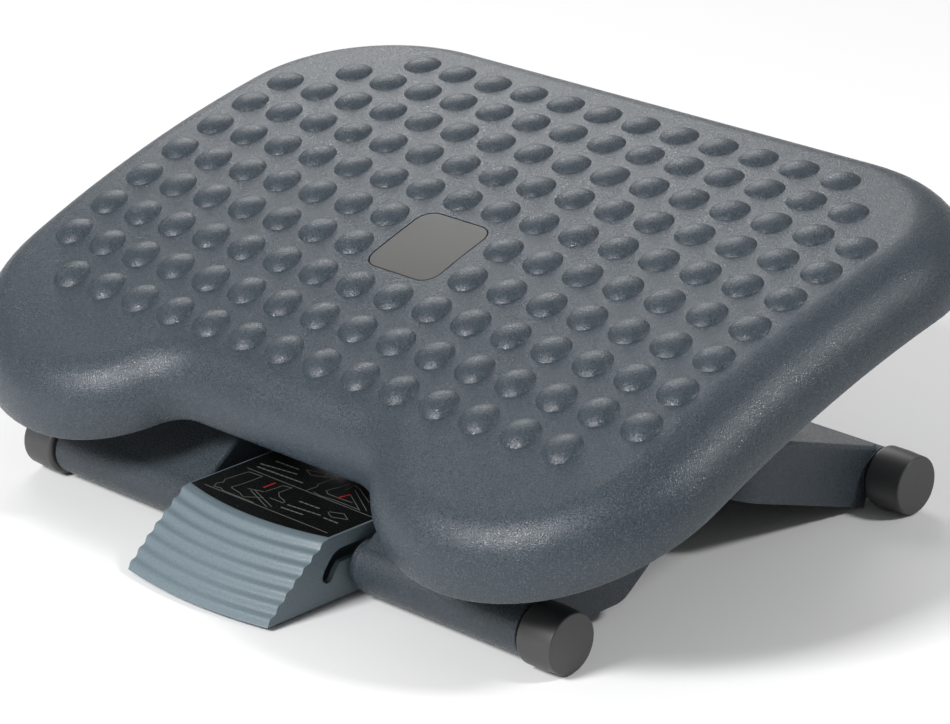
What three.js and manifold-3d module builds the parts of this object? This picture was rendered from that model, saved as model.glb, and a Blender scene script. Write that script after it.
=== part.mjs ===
// Tilting under desk footrest, at the lowest of its heights.
// X runs to the right, Y to the rear and Z up, in millimetres. The origin lies on the floor under
// the middle of the footrest. Angles are in degrees and shares are plain numbers.
import * as THREE from 'three';
import { mergeGeometries, mergeVertices } from 'three/addons/utils/BufferGeometryUtils.js';
import Module from 'manifold-3d';

const wasm = await Module();
wasm.setup();

// Linkage: the legs cross at the scissor pins, the front leg carries the tray hinge and the rear
// leg carries the slide pin.
const frontTubeReach = 104; // from the middle of the footrest forward to the front tube
const tubeHeight = 15; // both tube axes above the floor
const frontLegAngle = 35.4;
const crossingReach = 95.7; // front tube to scissor pins, along the front leg
const hingeReach = 168.7; // front tube to tray hinge, along the front leg
const rearCrossingReach = 172.2; // rear tube to scissor pins, along the rear leg
const slideReach = 44.6; // scissor pins to slide pin, along the rear leg
const heightRange = 12; // the front leg's swing from its lowest place
const rearSwingShare = 0.455; // the rear leg's swing for each degree of the front leg
const traySwingShare = 0.505; // the tray's swing for each degree of the front leg

// Foot tray, measured on its crowned top: across, along the arch and down from the surface
const trayLean = 0.65; // the tray's tilt beyond the line from its slide pin to its hinge, in degrees
const trayArchRadius = 725.6;
const trayHalfWidth = 227;
const trayRearReach = 158.8;
const trayCornerRadius = 93;
const trayHornReach = 187.8;
const trayNotchReach = 149.5;
const trayNoseRadius = 80;
const trayNotchRadius = 25;
const trayRimDepth = 30;
const trayRimRoll = 28;
const traySkin = 3;
const trayRibDepth = 10;
const trayRibWall = 2;
const trayRibSpacing = 76;
const trayHingeArc = 14.2; // tray centre to hinge, along the arch
const trayHingeDepth = 32;
const trayCrownLift = 0.15; // the rolled rim ends this much above the crowned top

// Bumps on the tray and the plate in their middle
const bumpRows = 10;
const bumpPitch = 25;
const bumpRowPitch = 25.2;
const bumpRadius = 9;
const bumpHeight = 3.3;
const bumpMargin = 22; // least from a bump's middle to the tray's side
const bumpRoot = 1;
const bumpSides = 6;
const bumpShoulderRadiusShare = 0.72;
const bumpShoulderHeightShare = 0.7;
const plateHalfWidth = 22.5;
const plateHalfLength = 23.8;
const plateCornerRadius = 9;
const plateThickness = 1.2;
const plateGroove = 0.6;

// Legs
const legTubeRadius = 13;
const legTubeWall = 3;
const legSkin = 3;
const legHalfWidth = 154.5;
const legTubeOverhang = 0.9;
const legShellDepth = 12; // below the line through the leg's axes
const frontOpeningHalf = 53.5;
const frontBeamGap = 32.3; // scissor pins to the cross beam
const frontBeamLength = 20;
const frontBeamCorner = 16;
const frontBarrelHalf = 98;
const frontWallDepth = 38.4;
const frontWallFloorGap = 9;
const frontWallTipDepth = 6;
const frontWallTaper = 18;
const hingeBarrelRadius = 9;
const barrelLap = 5; // the panel runs past the barrel's axis
const tubeInnerEnd = 49;
const tubeCollarRadius = 11;
const tubeCollarLength = 1.4;
const rearShoulderReach = 106.7; // rear tube to the shoulder, along the rear leg
const rearWallDepth = 17.3;
const rearWallGap = 6; // rear tube's axis to the ends of the side walls
const rearShoulderCorner = 18;
const rearShoulderFillet = 12;
const rearCornerCut = 4;
const tongueHalfWidth = 50;
const legRibWall = 2.5;
const slideBarrelRadius = 8;
const crossingBossRadius = 9;
const crossingBossLength = 3.5;

// End feet
const footStraight = 11; // length of its full width, which stands on the floor
const footLength = 19.4;
const footGap = 1;
const footBevel = 1.6;
const footDraft = 0.5;
const footSpigotRadius = 9.4;
const footSpigotLength = 16;

// Pins, clips and screws
const runningGap = 0.35; // round the pins and between seated pieces
const scissorPinRadius = 4;
const scissorHeadRadius = 6.5;
const scissorHeadThickness = 2.5;
const hingeRodRadius = 3;
const slidePinRadius = 3;
const clipThickness = 1.2;
const clipRim = 3.2;
const pinTail = 2;
const screwShankRadius = 1.9;
const screwHeadRadius = 3.6;
const screwHeadThickness = 2.3;
const screwLength = 8.6;

// Brackets and rails under the tray
const bracketWall = 4;
const bracketFlange = 3;
const bracketFlangeWidth = 20;
const bracketHalfLength = 15;
const bracketEyeRadius = 8;
const bracketSideGap = 3;
const hingePadDepth = 14;
const railSideGap = 3;
const railPadDepth = 17;
const railEyeRadius = 6.8;
const screwInset = 6;

// Pedal, measured from the front tube's axis
const pedalHalfWidth = 47.2;
const pedalWall = 3;
const pedalDeckHeight = 18;
const pedalDeckFront = 21.5;
const pedalDeckRear = 47;
const pedalLipReach = 60.5;
const pedalLipDrop = 13.2;
const pedalTopBulge = 7;
const pedalLipBulge = 5;
const pedalRidges = 7;
const pedalRidgeHeight = 2;
const pedalHeel = 2.5;
const pedalTongueRear = 9;
const pedalTongueTop = 4;
const pedalBandFront = 9.2;
const pedalBandRear = 13.5;
const pedalSlotWidth = 5;
const pedalSlotShares = [[-4, -2], [-3.4, -1.2], [-2.5, -0.3], [-1.5, -0.05], [0, 0]];
const pedalBossRadius = 3.4;
const pedalBossLength = 6.5;
const pedalStripes = 8;
const labelThickness = 0.3;
const labelInset = 3;

// Latch bar under the pedal deck and its rod on the rear leg
const latchBarHalfWidth = 18;
const latchBarWall = 3.5;
const latchBarPlate = 3;
const latchBarFront = 20;
const latchBarCrest = 120;
const latchBarCrestRise = 2;
const latchBarEndDrop = 1;
const latchWebDepth = 9;
const latchRodRadius = 2.5;
const latchRodBack = 62.92; // rear tube forward to latch rod, along the floor
const latchRodRise = 1.33; // above the tube axes
const latchCheekInner = 22;
const latchCheekWall = 3;
const latchCheekRim = 4.5;
const latchRodTail = 1.5;
const latchSteps = 3;
const latchToothDepth = 2.6;
const latchToothGap = 0.6; // over the rod's path, besides the running gap
const latchHookDrop = 1;
const latchHookLength = 4;
const latchScrewSpacing = 14;
const latchScrewShankRadius = 1.5;
const latchScrewSkin = 0.7; // left of the deck above the screw holes

// Cuts run past the faces that they open by this much
const overrun = 5;

// Outline points closer than this are one
const samePlace = 0.01;

// Counts of sides and steps
const roundSides = 18;
const pinSides = 10;
const arcSteps = 3;
const sideSteps = 5;
const rimSteps = 4;
const innerRimSteps = 3;
const ribSteps = 8;

const rad = THREE.MathUtils.degToRad;

// Solids from three.js geometry, and back

function solidOf(geometry) {
  const bare = geometry.clone();
  bare.deleteAttribute('normal');
  bare.deleteAttribute('uv');
  const merged = mergeVertices(bare);
  const corners = merged.index.array;
  const faces = [];
  for (let i = 0; i < corners.length; i += 3) {
    const face = [corners[i], corners[i + 1], corners[i + 2]];
    if (new Set(face).size === 3) {
      faces.push(...face);
    }
  }
  return new wasm.Manifold(new wasm.Mesh({
    numProp: 3,
    vertProperties: new Float32Array(merged.attributes.position.array),
    triVerts: new Uint32Array(faces),
  }));
}

function geometryOf(solid) {
  const mesh = solid.getMesh();
  const geometry = new THREE.BufferGeometry();
  geometry.setAttribute('position', new THREE.BufferAttribute(new Float32Array(mesh.vertProperties), 3));
  geometry.setIndex(new THREE.BufferAttribute(new Uint32Array(mesh.triVerts), 1));
  geometry.computeVertexNormals();
  return geometry;
}

function joined(...solids) {
  return solids.reduce((whole, next) => whole.add(next));
}

function cut(solid, ...tools) {
  return tools.reduce((rest, tool) => rest.subtract(tool), solid);
}

// Basic shapes. A side profile is drawn in Y and Z and pushed out along X.

const profileAxes = new THREE.Matrix4().makeBasis(
  new THREE.Vector3(0, 1, 0),
  new THREE.Vector3(0, 0, 1),
  new THREE.Vector3(1, 0, 0),
);

function block([x0, x1], [y0, y1], [z0, z1]) {
  const geometry = new THREE.BoxGeometry(x1 - x0, y1 - y0, z1 - z0);
  geometry.translate((x0 + x1) / 2, (y0 + y1) / 2, (z0 + z1) / 2);
  return solidOf(geometry);
}

function roundBar(radius, [x0, x1], y, z, sides = roundSides) {
  const geometry = new THREE.CylinderGeometry(radius, radius, x1 - x0, sides);
  geometry.rotateZ(Math.PI / 2);
  geometry.translate((x0 + x1) / 2, y, z);
  return solidOf(geometry);
}

function uprightRod(radius, x, y, [z0, z1], sides = pinSides) {
  const geometry = new THREE.CylinderGeometry(radius, radius, z1 - z0, sides);
  geometry.rotateX(Math.PI / 2);
  geometry.translate(x, y, (z0 + z1) / 2);
  return solidOf(geometry);
}

function profileGeometry(shape, [x0, x1], steps = 1) {
  const options = { depth: x1 - x0, bevelEnabled: false, curveSegments: arcSteps * 2, steps };
  const geometry = new THREE.ExtrudeGeometry(shape, options);
  geometry.applyMatrix4(profileAxes);
  geometry.translate(x0, 0, 0);
  return geometry;
}

function outlineShape(points) {
  return new THREE.Shape(points.map(([u, v]) => new THREE.Vector2(u, v)));
}

function profile(points, span) {
  return solidOf(profileGeometry(outlineShape(points), span));
}

function plan(shape, [z0, z1]) {
  const options = { depth: z1 - z0, bevelEnabled: false, curveSegments: arcSteps * 2 };
  const geometry = new THREE.ExtrudeGeometry(shape, options);
  geometry.translate(0, 0, z0);
  return solidOf(geometry);
}

// A span of X on one side: side is 1 on the right and -1 on the left.
function sideSpan(side, near, far) {
  return side > 0 ? [near, far] : [-far, -near];
}

const sides = [{ word: 'left', side: -1 }, { word: 'right', side: 1 }];

// Places of the linkage, as [y, z]

function turned([y, z], degrees) {
  const angle = rad(degrees);
  return [y * Math.cos(angle) - z * Math.sin(angle), y * Math.sin(angle) + z * Math.cos(angle)];
}

function shifted([y, z], [dy, dz]) {
  return [y + dy, z + dz];
}

function less([y, z], [dy, dz]) {
  return [y - dy, z - dz];
}

const frontAxis = [-frontTubeReach, tubeHeight];
const crossing = shifted(frontAxis, turned([crossingReach, 0], frontLegAngle));
const rearLegRise = crossing[1] - tubeHeight;
const rearAxis = [crossing[0] + Math.sqrt(rearCrossingReach ** 2 - rearLegRise ** 2), tubeHeight];
const rearLegAngle = THREE.MathUtils.radToDeg(Math.asin(rearLegRise / rearCrossingReach));
const trayHinge = shifted(frontAxis, turned([hingeReach, 0], frontLegAngle));
const slidePlace = shifted(crossing, turned([-slideReach, 0], -rearLegAngle));

const hingeFromSlide = less(trayHinge, slidePlace);
const trayTilt = THREE.MathUtils.radToDeg(Math.atan2(hingeFromSlide[1], hingeFromSlide[0])) + trayLean;

function archPlace(arc, depth) {
  const angle = arc / trayArchRadius;
  const radius = trayArchRadius - depth;
  return [radius * Math.sin(angle), radius * Math.cos(angle) - trayArchRadius];
}

const hingeInTray = archPlace(trayHingeArc, trayHingeDepth);
const trayMiddle = less(trayHinge, turned(hingeInTray, trayTilt));
const slideInTray = turned(less(slidePlace, trayMiddle), -trayTilt);

// The scissor pins and a point of the rear leg, after the front leg has swung up by some degrees
function rearLegPoint(atRest, swing) {
  const movedCrossing = shifted(frontAxis, turned([crossingReach, 0], frontLegAngle + swing));
  return shifted(movedCrossing, turned(less(atRest, crossing), -swing * rearSwingShare));
}

const latchRodPlace = shifted(rearAxis, [-latchRodBack, latchRodRise]);
const latchRodInLeg = turned(less(latchRodPlace, rearAxis), rearLegAngle);

// How far the slide pin runs along its rails between the lowest and the highest place
function slideTravel() {
  const movedHinge = shifted(frontAxis, turned([hingeReach, 0], frontLegAngle + heightRange));
  const pinFromHinge = less(rearLegPoint(slidePlace, heightRange), movedHinge);
  const inTray = turned(pinFromHinge, -trayTilt - heightRange * traySwingShare);
  return less(inTray, less(slideInTray, hingeInTray));
}

// Colours and finishes
const greyMoulding = new THREE.MeshStandardMaterial({ color: 0x4d5660, roughness: 0.5, metalness: 0 });
const legMoulding = new THREE.MeshStandardMaterial({ color: 0x43484e, roughness: 0.6, metalness: 0 });
const pedalMoulding = new THREE.MeshStandardMaterial({ color: 0x7f8e96, roughness: 0.55, metalness: 0 });
const footMoulding = new THREE.MeshStandardMaterial({ color: 0x4b4b4c, roughness: 0.5, metalness: 0 });
const darkNylon = new THREE.MeshStandardMaterial({ color: 0x232527, roughness: 0.5, metalness: 0 });
const plateFinish = new THREE.MeshStandardMaterial({ color: 0x6c6a68, roughness: 0.4, metalness: 0.1 });
const labelFilm = new THREE.MeshStandardMaterial({ color: 0x141516, roughness: 0.25, metalness: 0 });
const zincSteel = new THREE.MeshStandardMaterial({ color: 0xa9adb0, roughness: 0.35, metalness: 0.9 });

function piece(name, solid, material) {
  const mesh = new THREE.Mesh(geometryOf(solid), material);
  mesh.name = name;
  return mesh;
}

// Tray outline: the right half from the notch at the front round to the rear, then mirrored

function trayHalfOutline() {
  const hornX = trayHalfWidth - trayCornerRadius;
  const hornArc = trayCornerRadius - trayHornReach;
  const noseArc = trayNoseRadius - trayHornReach;
  const notchArc = -trayNotchReach - trayNotchRadius;
  const reach = trayNoseRadius + trayNotchRadius;
  const notchX = hornX - Math.sqrt(reach ** 2 - (noseArc - notchArc) ** 2);
  const turn = Math.atan2(noseArc - notchArc, hornX - notchX);
  const rearArc = trayRearReach - trayCornerRadius;
  const path = new THREE.Path();
  path.moveTo(0, -trayNotchReach);
  path.lineTo(notchX, -trayNotchReach);
  path.absarc(notchX, notchArc, trayNotchRadius, Math.PI / 2, turn, true);
  path.absarc(hornX, noseArc, trayNoseRadius, Math.PI + turn, Math.PI * 3 / 2, false);
  path.absarc(hornX, hornArc, trayCornerRadius, -Math.PI / 2, 0, false);
  for (let step = 1; step < sideSteps; step += 1) {
    path.lineTo(trayHalfWidth, THREE.MathUtils.lerp(hornArc, rearArc, step / sideSteps));
  }
  path.absarc(hornX, rearArc, trayCornerRadius, 0, Math.PI / 2, false);
  path.lineTo(0, trayRearReach);
  return path.getPoints(arcSteps);
}

function withoutRepeats(points) {
  return points.filter((point, i) => i === 0 || point.distanceTo(points[i - 1]) > samePlace);
}

function trayOutline() {
  const right = withoutRepeats(trayHalfOutline());
  const left = right.slice(1, -1).reverse().map((point) => new THREE.Vector2(-point.x, point.y));
  return right.concat(left);
}

function inwardNormals(points) {
  return points.map((point, i) => {
    const before = points[(i + points.length - 1) % points.length];
    const after = points[(i + 1) % points.length];
    const ahead = after.clone().sub(point).normalize().add(point.clone().sub(before).normalize());
    return new THREE.Vector2(-ahead.y, ahead.x).normalize();
  });
}

function insetRing(points, inset) {
  const normals = inwardNormals(points);
  return points.map((point, i) => point.clone().addScaledVector(normals[i], inset));
}

// A closed skin through rings of equal length, given as { points, depth }, closed by a middle point
// at each end. The rings run anticlockwise, from the bottom up. The top may come to a tip.
function ringGeometry(rings, middle, tipDepth = rings[rings.length - 1].depth) {
  const positions = [];
  const push = (point, depth) => {
    const [y, z] = archPlace(point.y, depth);
    positions.push(point.x, y, z);
  };
  rings.forEach((ring) => ring.points.forEach((point) => push(point, ring.depth)));
  push(middle, rings[0].depth);
  push(middle, tipDepth);
  const count = rings[0].points.length;
  const bottom = rings.length * count;
  const top = bottom + 1;
  const faces = [];
  for (let i = 0; i < count; i += 1) {
    const next = (i + 1) % count;
    faces.push(bottom, next, i);
    faces.push(top, bottom - count + i, bottom - count + next);
    for (let ring = 0; ring < rings.length - 1; ring += 1) {
      const low = ring * count;
      const high = low + count;
      faces.push(low + i, low + next, high + next, low + i, high + next, high + i);
    }
  }
  const geometry = new THREE.BufferGeometry();
  geometry.setAttribute('position', new THREE.Float32BufferAttribute(positions, 3));
  geometry.setIndex(faces);
  return geometry;
}

// Everything under the crowned surface, or under one that lies deeper by a wall. Its flat strips
// meet midway between the rows of bumps.
function archPrism(wall) {
  const half = trayHalfWidth + overrun;
  const strips = Math.ceil(trayHornReach / bumpRowPitch) + 1;
  const points = [];
  for (let strip = strips; strip >= -strips; strip -= 1) {
    points.push(archPlace(strip * bumpRowPitch, wall));
  }
  const end = strips * bumpRowPitch;
  points.push([-end, -end], [end, -end]);
  return profile(points, [-half, half]);
}

// The tray's outer form, or its inner one where it is drawn in by a wall
function trayForm(wall, rimDepth, steps) {
  const outline = trayOutline();
  const middle = new THREE.Vector2(0, 0);
  const rings = [];
  if (rimDepth > trayRimDepth) {
    rings.push({ points: insetRing(outline, wall), depth: rimDepth });
  }
  for (let step = 0; step <= steps; step += 1) {
    const angle = (Math.PI / 2) * (step / steps);
    const inset = wall + (trayRimRoll - wall) * (1 - Math.cos(angle));
    const depth = trayRimDepth - (trayRimDepth - wall + trayCrownLift) * Math.sin(angle);
    rings.push({ points: insetRing(outline, inset), depth });
  }
  rings.push({ points: rings[rings.length - 1].points, depth: -overrun });
  const crowned = archPrism(wall);
  return solidOf(ringGeometry(rings, middle)).intersect(crowned);
}

// A round or square slab that follows the arch
function archSlab(points, middle, top, bottom) {
  const rings = [{ points, depth: bottom }, { points, depth: top }];
  return ringGeometry(rings, middle);
}

function circlePoints(radius, x, arc, sidesCount) {
  const points = [];
  for (let i = 0; i < sidesCount; i += 1) {
    const angle = (2 * Math.PI * i) / sidesCount;
    points.push(new THREE.Vector2(x + radius * Math.cos(angle), arc + radius * Math.sin(angle)));
  }
  return points;
}

const bumpColumns = Math.floor((trayHalfWidth - bumpMargin) / bumpPitch + 1 / 2) * 2;

function bumpIsLeftOut(row, column) {
  const last = bumpColumns - 1;
  const fromSide = Math.min(column, last - column);
  const rearGap = row === 0 ? 2 : 1;
  const onEdgeRow = row <= 1 || row === bumpRows - 1;
  const plateRow = row === bumpRows / 2 || row === bumpRows / 2 + 1;
  const plateColumn = fromSide === bumpColumns / 2 - 1;
  return (onEdgeRow && fromSide < rearGap) || (plateRow && plateColumn);
}

function bumpGeometry(x, arc) {
  const slope = bumpRadius * (1 - bumpShoulderRadiusShare) / (bumpHeight * bumpShoulderHeightShare);
  const ring = (radius, depth) => ({ points: circlePoints(radius, x, arc, bumpSides), depth });
  const root = ring(bumpRadius + slope * bumpRoot, bumpRoot);
  const shoulder = ring(bumpRadius * bumpShoulderRadiusShare, -bumpHeight * bumpShoulderHeightShare);
  return ringGeometry([root, shoulder], new THREE.Vector2(x, arc), -bumpHeight);
}

function bumps() {
  const geometries = [];
  for (let row = 0; row < bumpRows; row += 1) {
    for (let column = 0; column < bumpColumns; column += 1) {
      if (!bumpIsLeftOut(row, column)) {
        const x = (column - (bumpColumns - 1) / 2) * bumpPitch;
        const arc = ((bumpRows - 1) / 2 - row) * bumpRowPitch;
        geometries.push(bumpGeometry(x, arc));
      }
    }
  }
  return solidOf(mergeGeometries(geometries));
}

// The plate's outline, drawn in by a gap
const plateArc = -bumpRowPitch;

function platePoints(gap) {
  const halfWidth = plateHalfWidth - gap;
  const halfLength = plateHalfLength - gap;
  const corner = plateCornerRadius - gap;
  const path = new THREE.Path();
  path.absarc(halfWidth - corner, plateArc + halfLength - corner, corner, 0, Math.PI / 2, false);
  path.absarc(corner - halfWidth, plateArc + halfLength - corner, corner, Math.PI / 2, Math.PI, false);
  path.absarc(corner - halfWidth, plateArc - halfLength + corner, corner, Math.PI, Math.PI * 3 / 2, false);
  path.absarc(halfWidth - corner, plateArc - halfLength + corner, corner, -Math.PI / 2, 0, false);
  return path.getPoints(arcSteps);
}

function plateSlab(gap, top, bottom) {
  const middle = new THREE.Vector2(0, plateArc);
  return solidOf(archSlab(platePoints(gap), middle, top, bottom));
}

// Ribs that cross under the tray's skin
function ribAcross(arc) {
  const [y, z] = archPlace(arc, trayRibDepth);
  const top = archPlace(arc, traySkin / 2)[1];
  const halfWall = trayRibWall / 2;
  return block([-trayHalfWidth, trayHalfWidth], [y - halfWall, y + halfWall], [z, top]);
}

function ribAlong(x) {
  const points = [];
  for (let step = 0; step <= ribSteps; step += 1) {
    const arc = THREE.MathUtils.lerp(-trayHornReach, trayRearReach, step / ribSteps);
    points.push(archPlace(arc, trayRibDepth));
  }
  for (let step = ribSteps; step >= 0; step -= 1) {
    const arc = THREE.MathUtils.lerp(-trayHornReach, trayRearReach, step / ribSteps);
    points.push(archPlace(arc, traySkin / 2));
  }
  return profile(points, [x - trayRibWall / 2, x + trayRibWall / 2]);
}

// Brackets and rails: each hangs from a pad under the tray by a flange with two screws
const hingeWebInner = frontBarrelHalf + bracketSideGap;
const railWebInner = tongueHalfWidth + railSideGap;
const slideRun = slideTravel();
const railLow = Math.min(0, slideRun[0]) + slideInTray[0];
const railHigh = Math.max(0, slideRun[0]) + slideInTray[0];

const hingeSeat = {
  inner: hingeWebInner,
  y: [hingeInTray[0] - bracketHalfLength, hingeInTray[0] + bracketHalfLength],
  pad: hingePadDepth,
};
const railSeat = {
  inner: railWebInner,
  y: [railLow - bracketHalfLength, railHigh + bracketHalfLength],
  pad: railPadDepth,
};

function screwPlaces(seat) {
  const x = seat.inner + bracketWall + bracketFlangeWidth / 2;
  return [
    { end: 'front', x, y: seat.y[0] + screwInset },
    { end: 'rear', x, y: seat.y[1] - screwInset },
  ];
}

function pad(seat, side) {
  const across = sideSpan(side, seat.inner, seat.inner + bracketWall + bracketFlangeWidth);
  return block(across, seat.y, [-seat.pad, 0]);
}

function flangeTop(seat) {
  return -seat.pad - runningGap;
}

function screwHeadTop(seat) {
  return flangeTop(seat) - bracketFlange - runningGap;
}

function screwHole(seat, side, place) {
  const mouth = flangeTop(seat) - bracketFlange - overrun;
  const tip = screwHeadTop(seat) + screwLength + runningGap;
  return uprightRod(screwShankRadius + runningGap, side * place.x, place.y, [mouth, tip]);
}

function trayShell() {
  const outer = trayForm(0, trayRimDepth, rimSteps);
  const hollow = trayForm(traySkin, trayRimDepth + overrun, innerRimSteps);
  const core = trayForm(traySkin / 2, trayRimDepth, innerRimSteps);
  const fittings = [];
  for (let x = trayRibSpacing / 2; x < trayHalfWidth - trayRimRoll; x += trayRibSpacing) {
    fittings.push(ribAlong(x), ribAlong(-x));
  }
  for (let arc = -trayRibSpacing * 2; arc < trayRearReach - trayRimRoll; arc += trayRibSpacing) {
    fittings.push(ribAcross(arc));
  }
  sides.forEach(({ side }) => fittings.push(pad(hingeSeat, side), pad(railSeat, side)));
  fittings.push(plateSlab(-traySkin, traySkin / 2, traySkin + plateThickness));
  const holes = [];
  [hingeSeat, railSeat].forEach((seat) => sides.forEach(({ side }) => {
    screwPlaces(seat).forEach((place) => holes.push(screwHole(seat, side, place)));
  }));
  const shell = cut(outer, hollow).add(joined(...fittings).intersect(core)).add(bumps());
  const recess = plateSlab(0, -bumpHeight, plateThickness + runningGap);
  return piece('tray_shell', cut(shell, recess, ...holes), greyMoulding);
}

function centrePlate() {
  return piece('centre_plate', plateSlab(plateGroove, 0, plateThickness), plateFinish);
}

function bracketWeb(seat, side, eyeLow, eyeHigh, z, radius) {
  const shape = new THREE.Shape();
  shape.moveTo(seat.y[0], flangeTop(seat));
  shape.lineTo(seat.y[0], flangeTop(seat) - bracketFlange);
  shape.absarc(eyeLow, z, radius, Math.PI, Math.PI * 3 / 2, false);
  shape.absarc(eyeHigh, z, radius, -Math.PI / 2, 0, false);
  shape.lineTo(seat.y[1], flangeTop(seat) - bracketFlange);
  shape.lineTo(seat.y[1], flangeTop(seat));
  return solidOf(profileGeometry(shape, sideSpan(side, seat.inner, seat.inner + bracketWall)));
}

function flange(seat, side) {
  const across = sideSpan(side, seat.inner, seat.inner + bracketWall + bracketFlangeWidth);
  const plate = block(across, seat.y, [flangeTop(seat) - bracketFlange, flangeTop(seat)]);
  return cut(plate, ...screwPlaces(seat).map((place) => screwHole(seat, side, place)));
}

function hingeBracket({ word, side }) {
  const [y, z] = hingeInTray;
  const web = bracketWeb(hingeSeat, side, y, y, z, bracketEyeRadius);
  const bore = roundBar(hingeRodRadius + runningGap, sideSpan(side, 0, trayHalfWidth), y, z, pinSides);
  return piece(`hinge_bracket_${word}`, cut(joined(web, flange(hingeSeat, side)), bore), zincSteel);
}

function slideRail({ word, side }) {
  const z = slideInTray[1] + slideRun[1] / 2;
  const web = bracketWeb(railSeat, side, railLow, railHigh, z, railEyeRadius);
  const slotRadius = slidePinRadius + runningGap + Math.abs(slideRun[1]);
  const slot = new THREE.Shape();
  slot.absarc(railLow - runningGap, z, slotRadius, Math.PI / 2, Math.PI * 3 / 2, false);
  slot.absarc(railHigh + runningGap, z, slotRadius, -Math.PI / 2, Math.PI / 2, false);
  const slotCut = solidOf(profileGeometry(slot, sideSpan(side, 0, trayHalfWidth)));
  return piece(`slide_rail_${word}`, cut(joined(web, flange(railSeat, side)), slotCut), darkNylon);
}

function seatScrews(seat, name, { word, side }) {
  return screwPlaces(seat).map((place) => {
    const top = screwHeadTop(seat);
    const x = side * place.x;
    const head = uprightRod(screwHeadRadius, x, place.y, [top - screwHeadThickness, top]);
    const shankSpan = [top - screwHeadThickness / 2, top + screwLength];
    const shank = uprightRod(screwShankRadius, x, place.y, shankSpan);
    return piece(`${name}_${word}_screw_${place.end}`, joined(head, shank), zincSteel);
  });
}

function clip(name, pinRadius, { word, side }, near, [y, z]) {
  const span = sideSpan(side, near, near + clipThickness);
  const ring = roundBar(pinRadius + clipRim, span, y, z, pinSides);
  const holeSpan = sideSpan(side, near - overrun, near + overrun);
  const hole = roundBar(pinRadius + runningGap, holeSpan, y, z, pinSides);
  return piece(`${name}_${word}`, cut(ring, hole), zincSteel);
}

function trayHingeParts() {
  const clipNear = hingeWebInner + bracketWall + runningGap;
  const half = clipNear + clipThickness + pinTail;
  const rod = roundBar(hingeRodRadius, [-half, half], ...hingeInTray, pinSides);
  const clips = sides.map((one) => clip('hinge_clip', hingeRodRadius, one, clipNear, hingeInTray));
  return [piece('hinge_rod', rod, zincSteel), ...clips];
}

// Front leg: Y runs up along the leg from the front tube's axis and Z square to it

const frontBeamFront = crossingReach + frontBeamGap;
const frontBeamRear = hingeReach - frontBeamLength;
const frontEnd = hingeReach + barrelLap;

function frontPlan(inset, frontEdge) {
  const outer = legHalfWidth - inset;
  const beamRear = frontBeamRear - inset;
  const barrel = frontBarrelHalf - inset;
  const opening = frontOpeningHalf + inset;
  const corner = frontBeamCorner - inset;
  const shape = new THREE.Shape();
  shape.moveTo(opening, frontEdge);
  shape.lineTo(outer, frontEdge);
  shape.absarc(outer - corner, beamRear - corner, corner, 0, Math.PI / 2, false);
  shape.lineTo(barrel, beamRear);
  shape.lineTo(barrel, frontEnd - inset);
  shape.lineTo(-barrel, frontEnd - inset);
  shape.lineTo(-barrel, beamRear);
  shape.absarc(corner - outer, beamRear - corner, corner, Math.PI / 2, Math.PI, false);
  shape.lineTo(-outer, frontEdge);
  shape.lineTo(-opening, frontEdge);
  shape.lineTo(-opening, frontBeamFront + inset);
  shape.lineTo(opening, frontBeamFront + inset);
  return shape;
}

function inFrontLeg(place) {
  return turned(less(place, frontAxis), -frontLegAngle);
}

// The deep outer wall: level above the floor at the front, then along the leg
function frontWallProfile() {
  const slope = Math.tan(rad(frontLegAngle));
  const drop = frontWallDepth / Math.cos(rad(frontLegAngle));
  const kneeY = -frontTubeReach + (frontWallFloorGap - tubeHeight + drop) / slope;
  const tubeRear = -frontTubeReach + legTubeRadius / 2;
  const level = (y) => inFrontLeg([y, frontWallFloorGap]);
  const knee = level(kneeY);
  const tip = frontBeamRear - frontBeamCorner;
  const round = frontWallTipDepth;
  return [
    [0, legTubeRadius - legSkin / 2],
    level(tubeRear),
    level(kneeY - round),
    shifted(knee, [round / 4, round / 4]),
    [knee[0] + round, -frontWallDepth],
    [tip - frontWallTaper, -frontWallDepth],
    [tip, -frontWallTipDepth],
    [tip, legTubeRadius - legSkin / 2],
  ];
}

function frontTube(side) {
  const outerEnd = legHalfWidth + legTubeOverhang;
  const tube = roundBar(legTubeRadius, sideSpan(side, tubeInnerEnd, outerEnd), 0, 0);
  const collarSpan = sideSpan(side, tubeInnerEnd - tubeCollarLength, tubeInnerEnd + legTubeWall);
  const collar = roundBar(tubeCollarRadius, collarSpan, 0, 0);
  return joined(tube, collar);
}

function frontTubeBores(side) {
  const borer = legTubeRadius - legTubeWall;
  const outerEnd = legHalfWidth + legTubeOverhang + overrun;
  const bore = roundBar(borer, sideSpan(side, tubeInnerEnd + legTubeWall, outerEnd), 0, 0);
  const pivot = roundBar(pedalBossRadius + runningGap, sideSpan(side, 0, outerEnd), 0, 0, pinSides);
  return [bore, pivot];
}

function frontRibs() {
  const ribs = [];
  const top = legTubeRadius - legSkin / 2;
  const pastBoss = crossingReach + crossingBossRadius + legRibWall;
  for (const y of [crossingReach / 2, pastBoss]) {
    sides.forEach(({ side }) => {
      const span = sideSpan(side, frontOpeningHalf + legSkin / 2, legHalfWidth - legSkin / 2);
      ribs.push(block(span, [y, y + legRibWall], [-legShellDepth + legSkin, top]));
    });
  }
  [-1, 0, 1].forEach((place) => {
    const x = (place * frontBarrelHalf) / 2;
    const span = [x - legRibWall / 2, x + legRibWall / 2];
    ribs.push(block(span, [frontBeamFront + legSkin / 2, hingeReach], [-legShellDepth + legSkin, top]));
  });
  return ribs;
}

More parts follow.
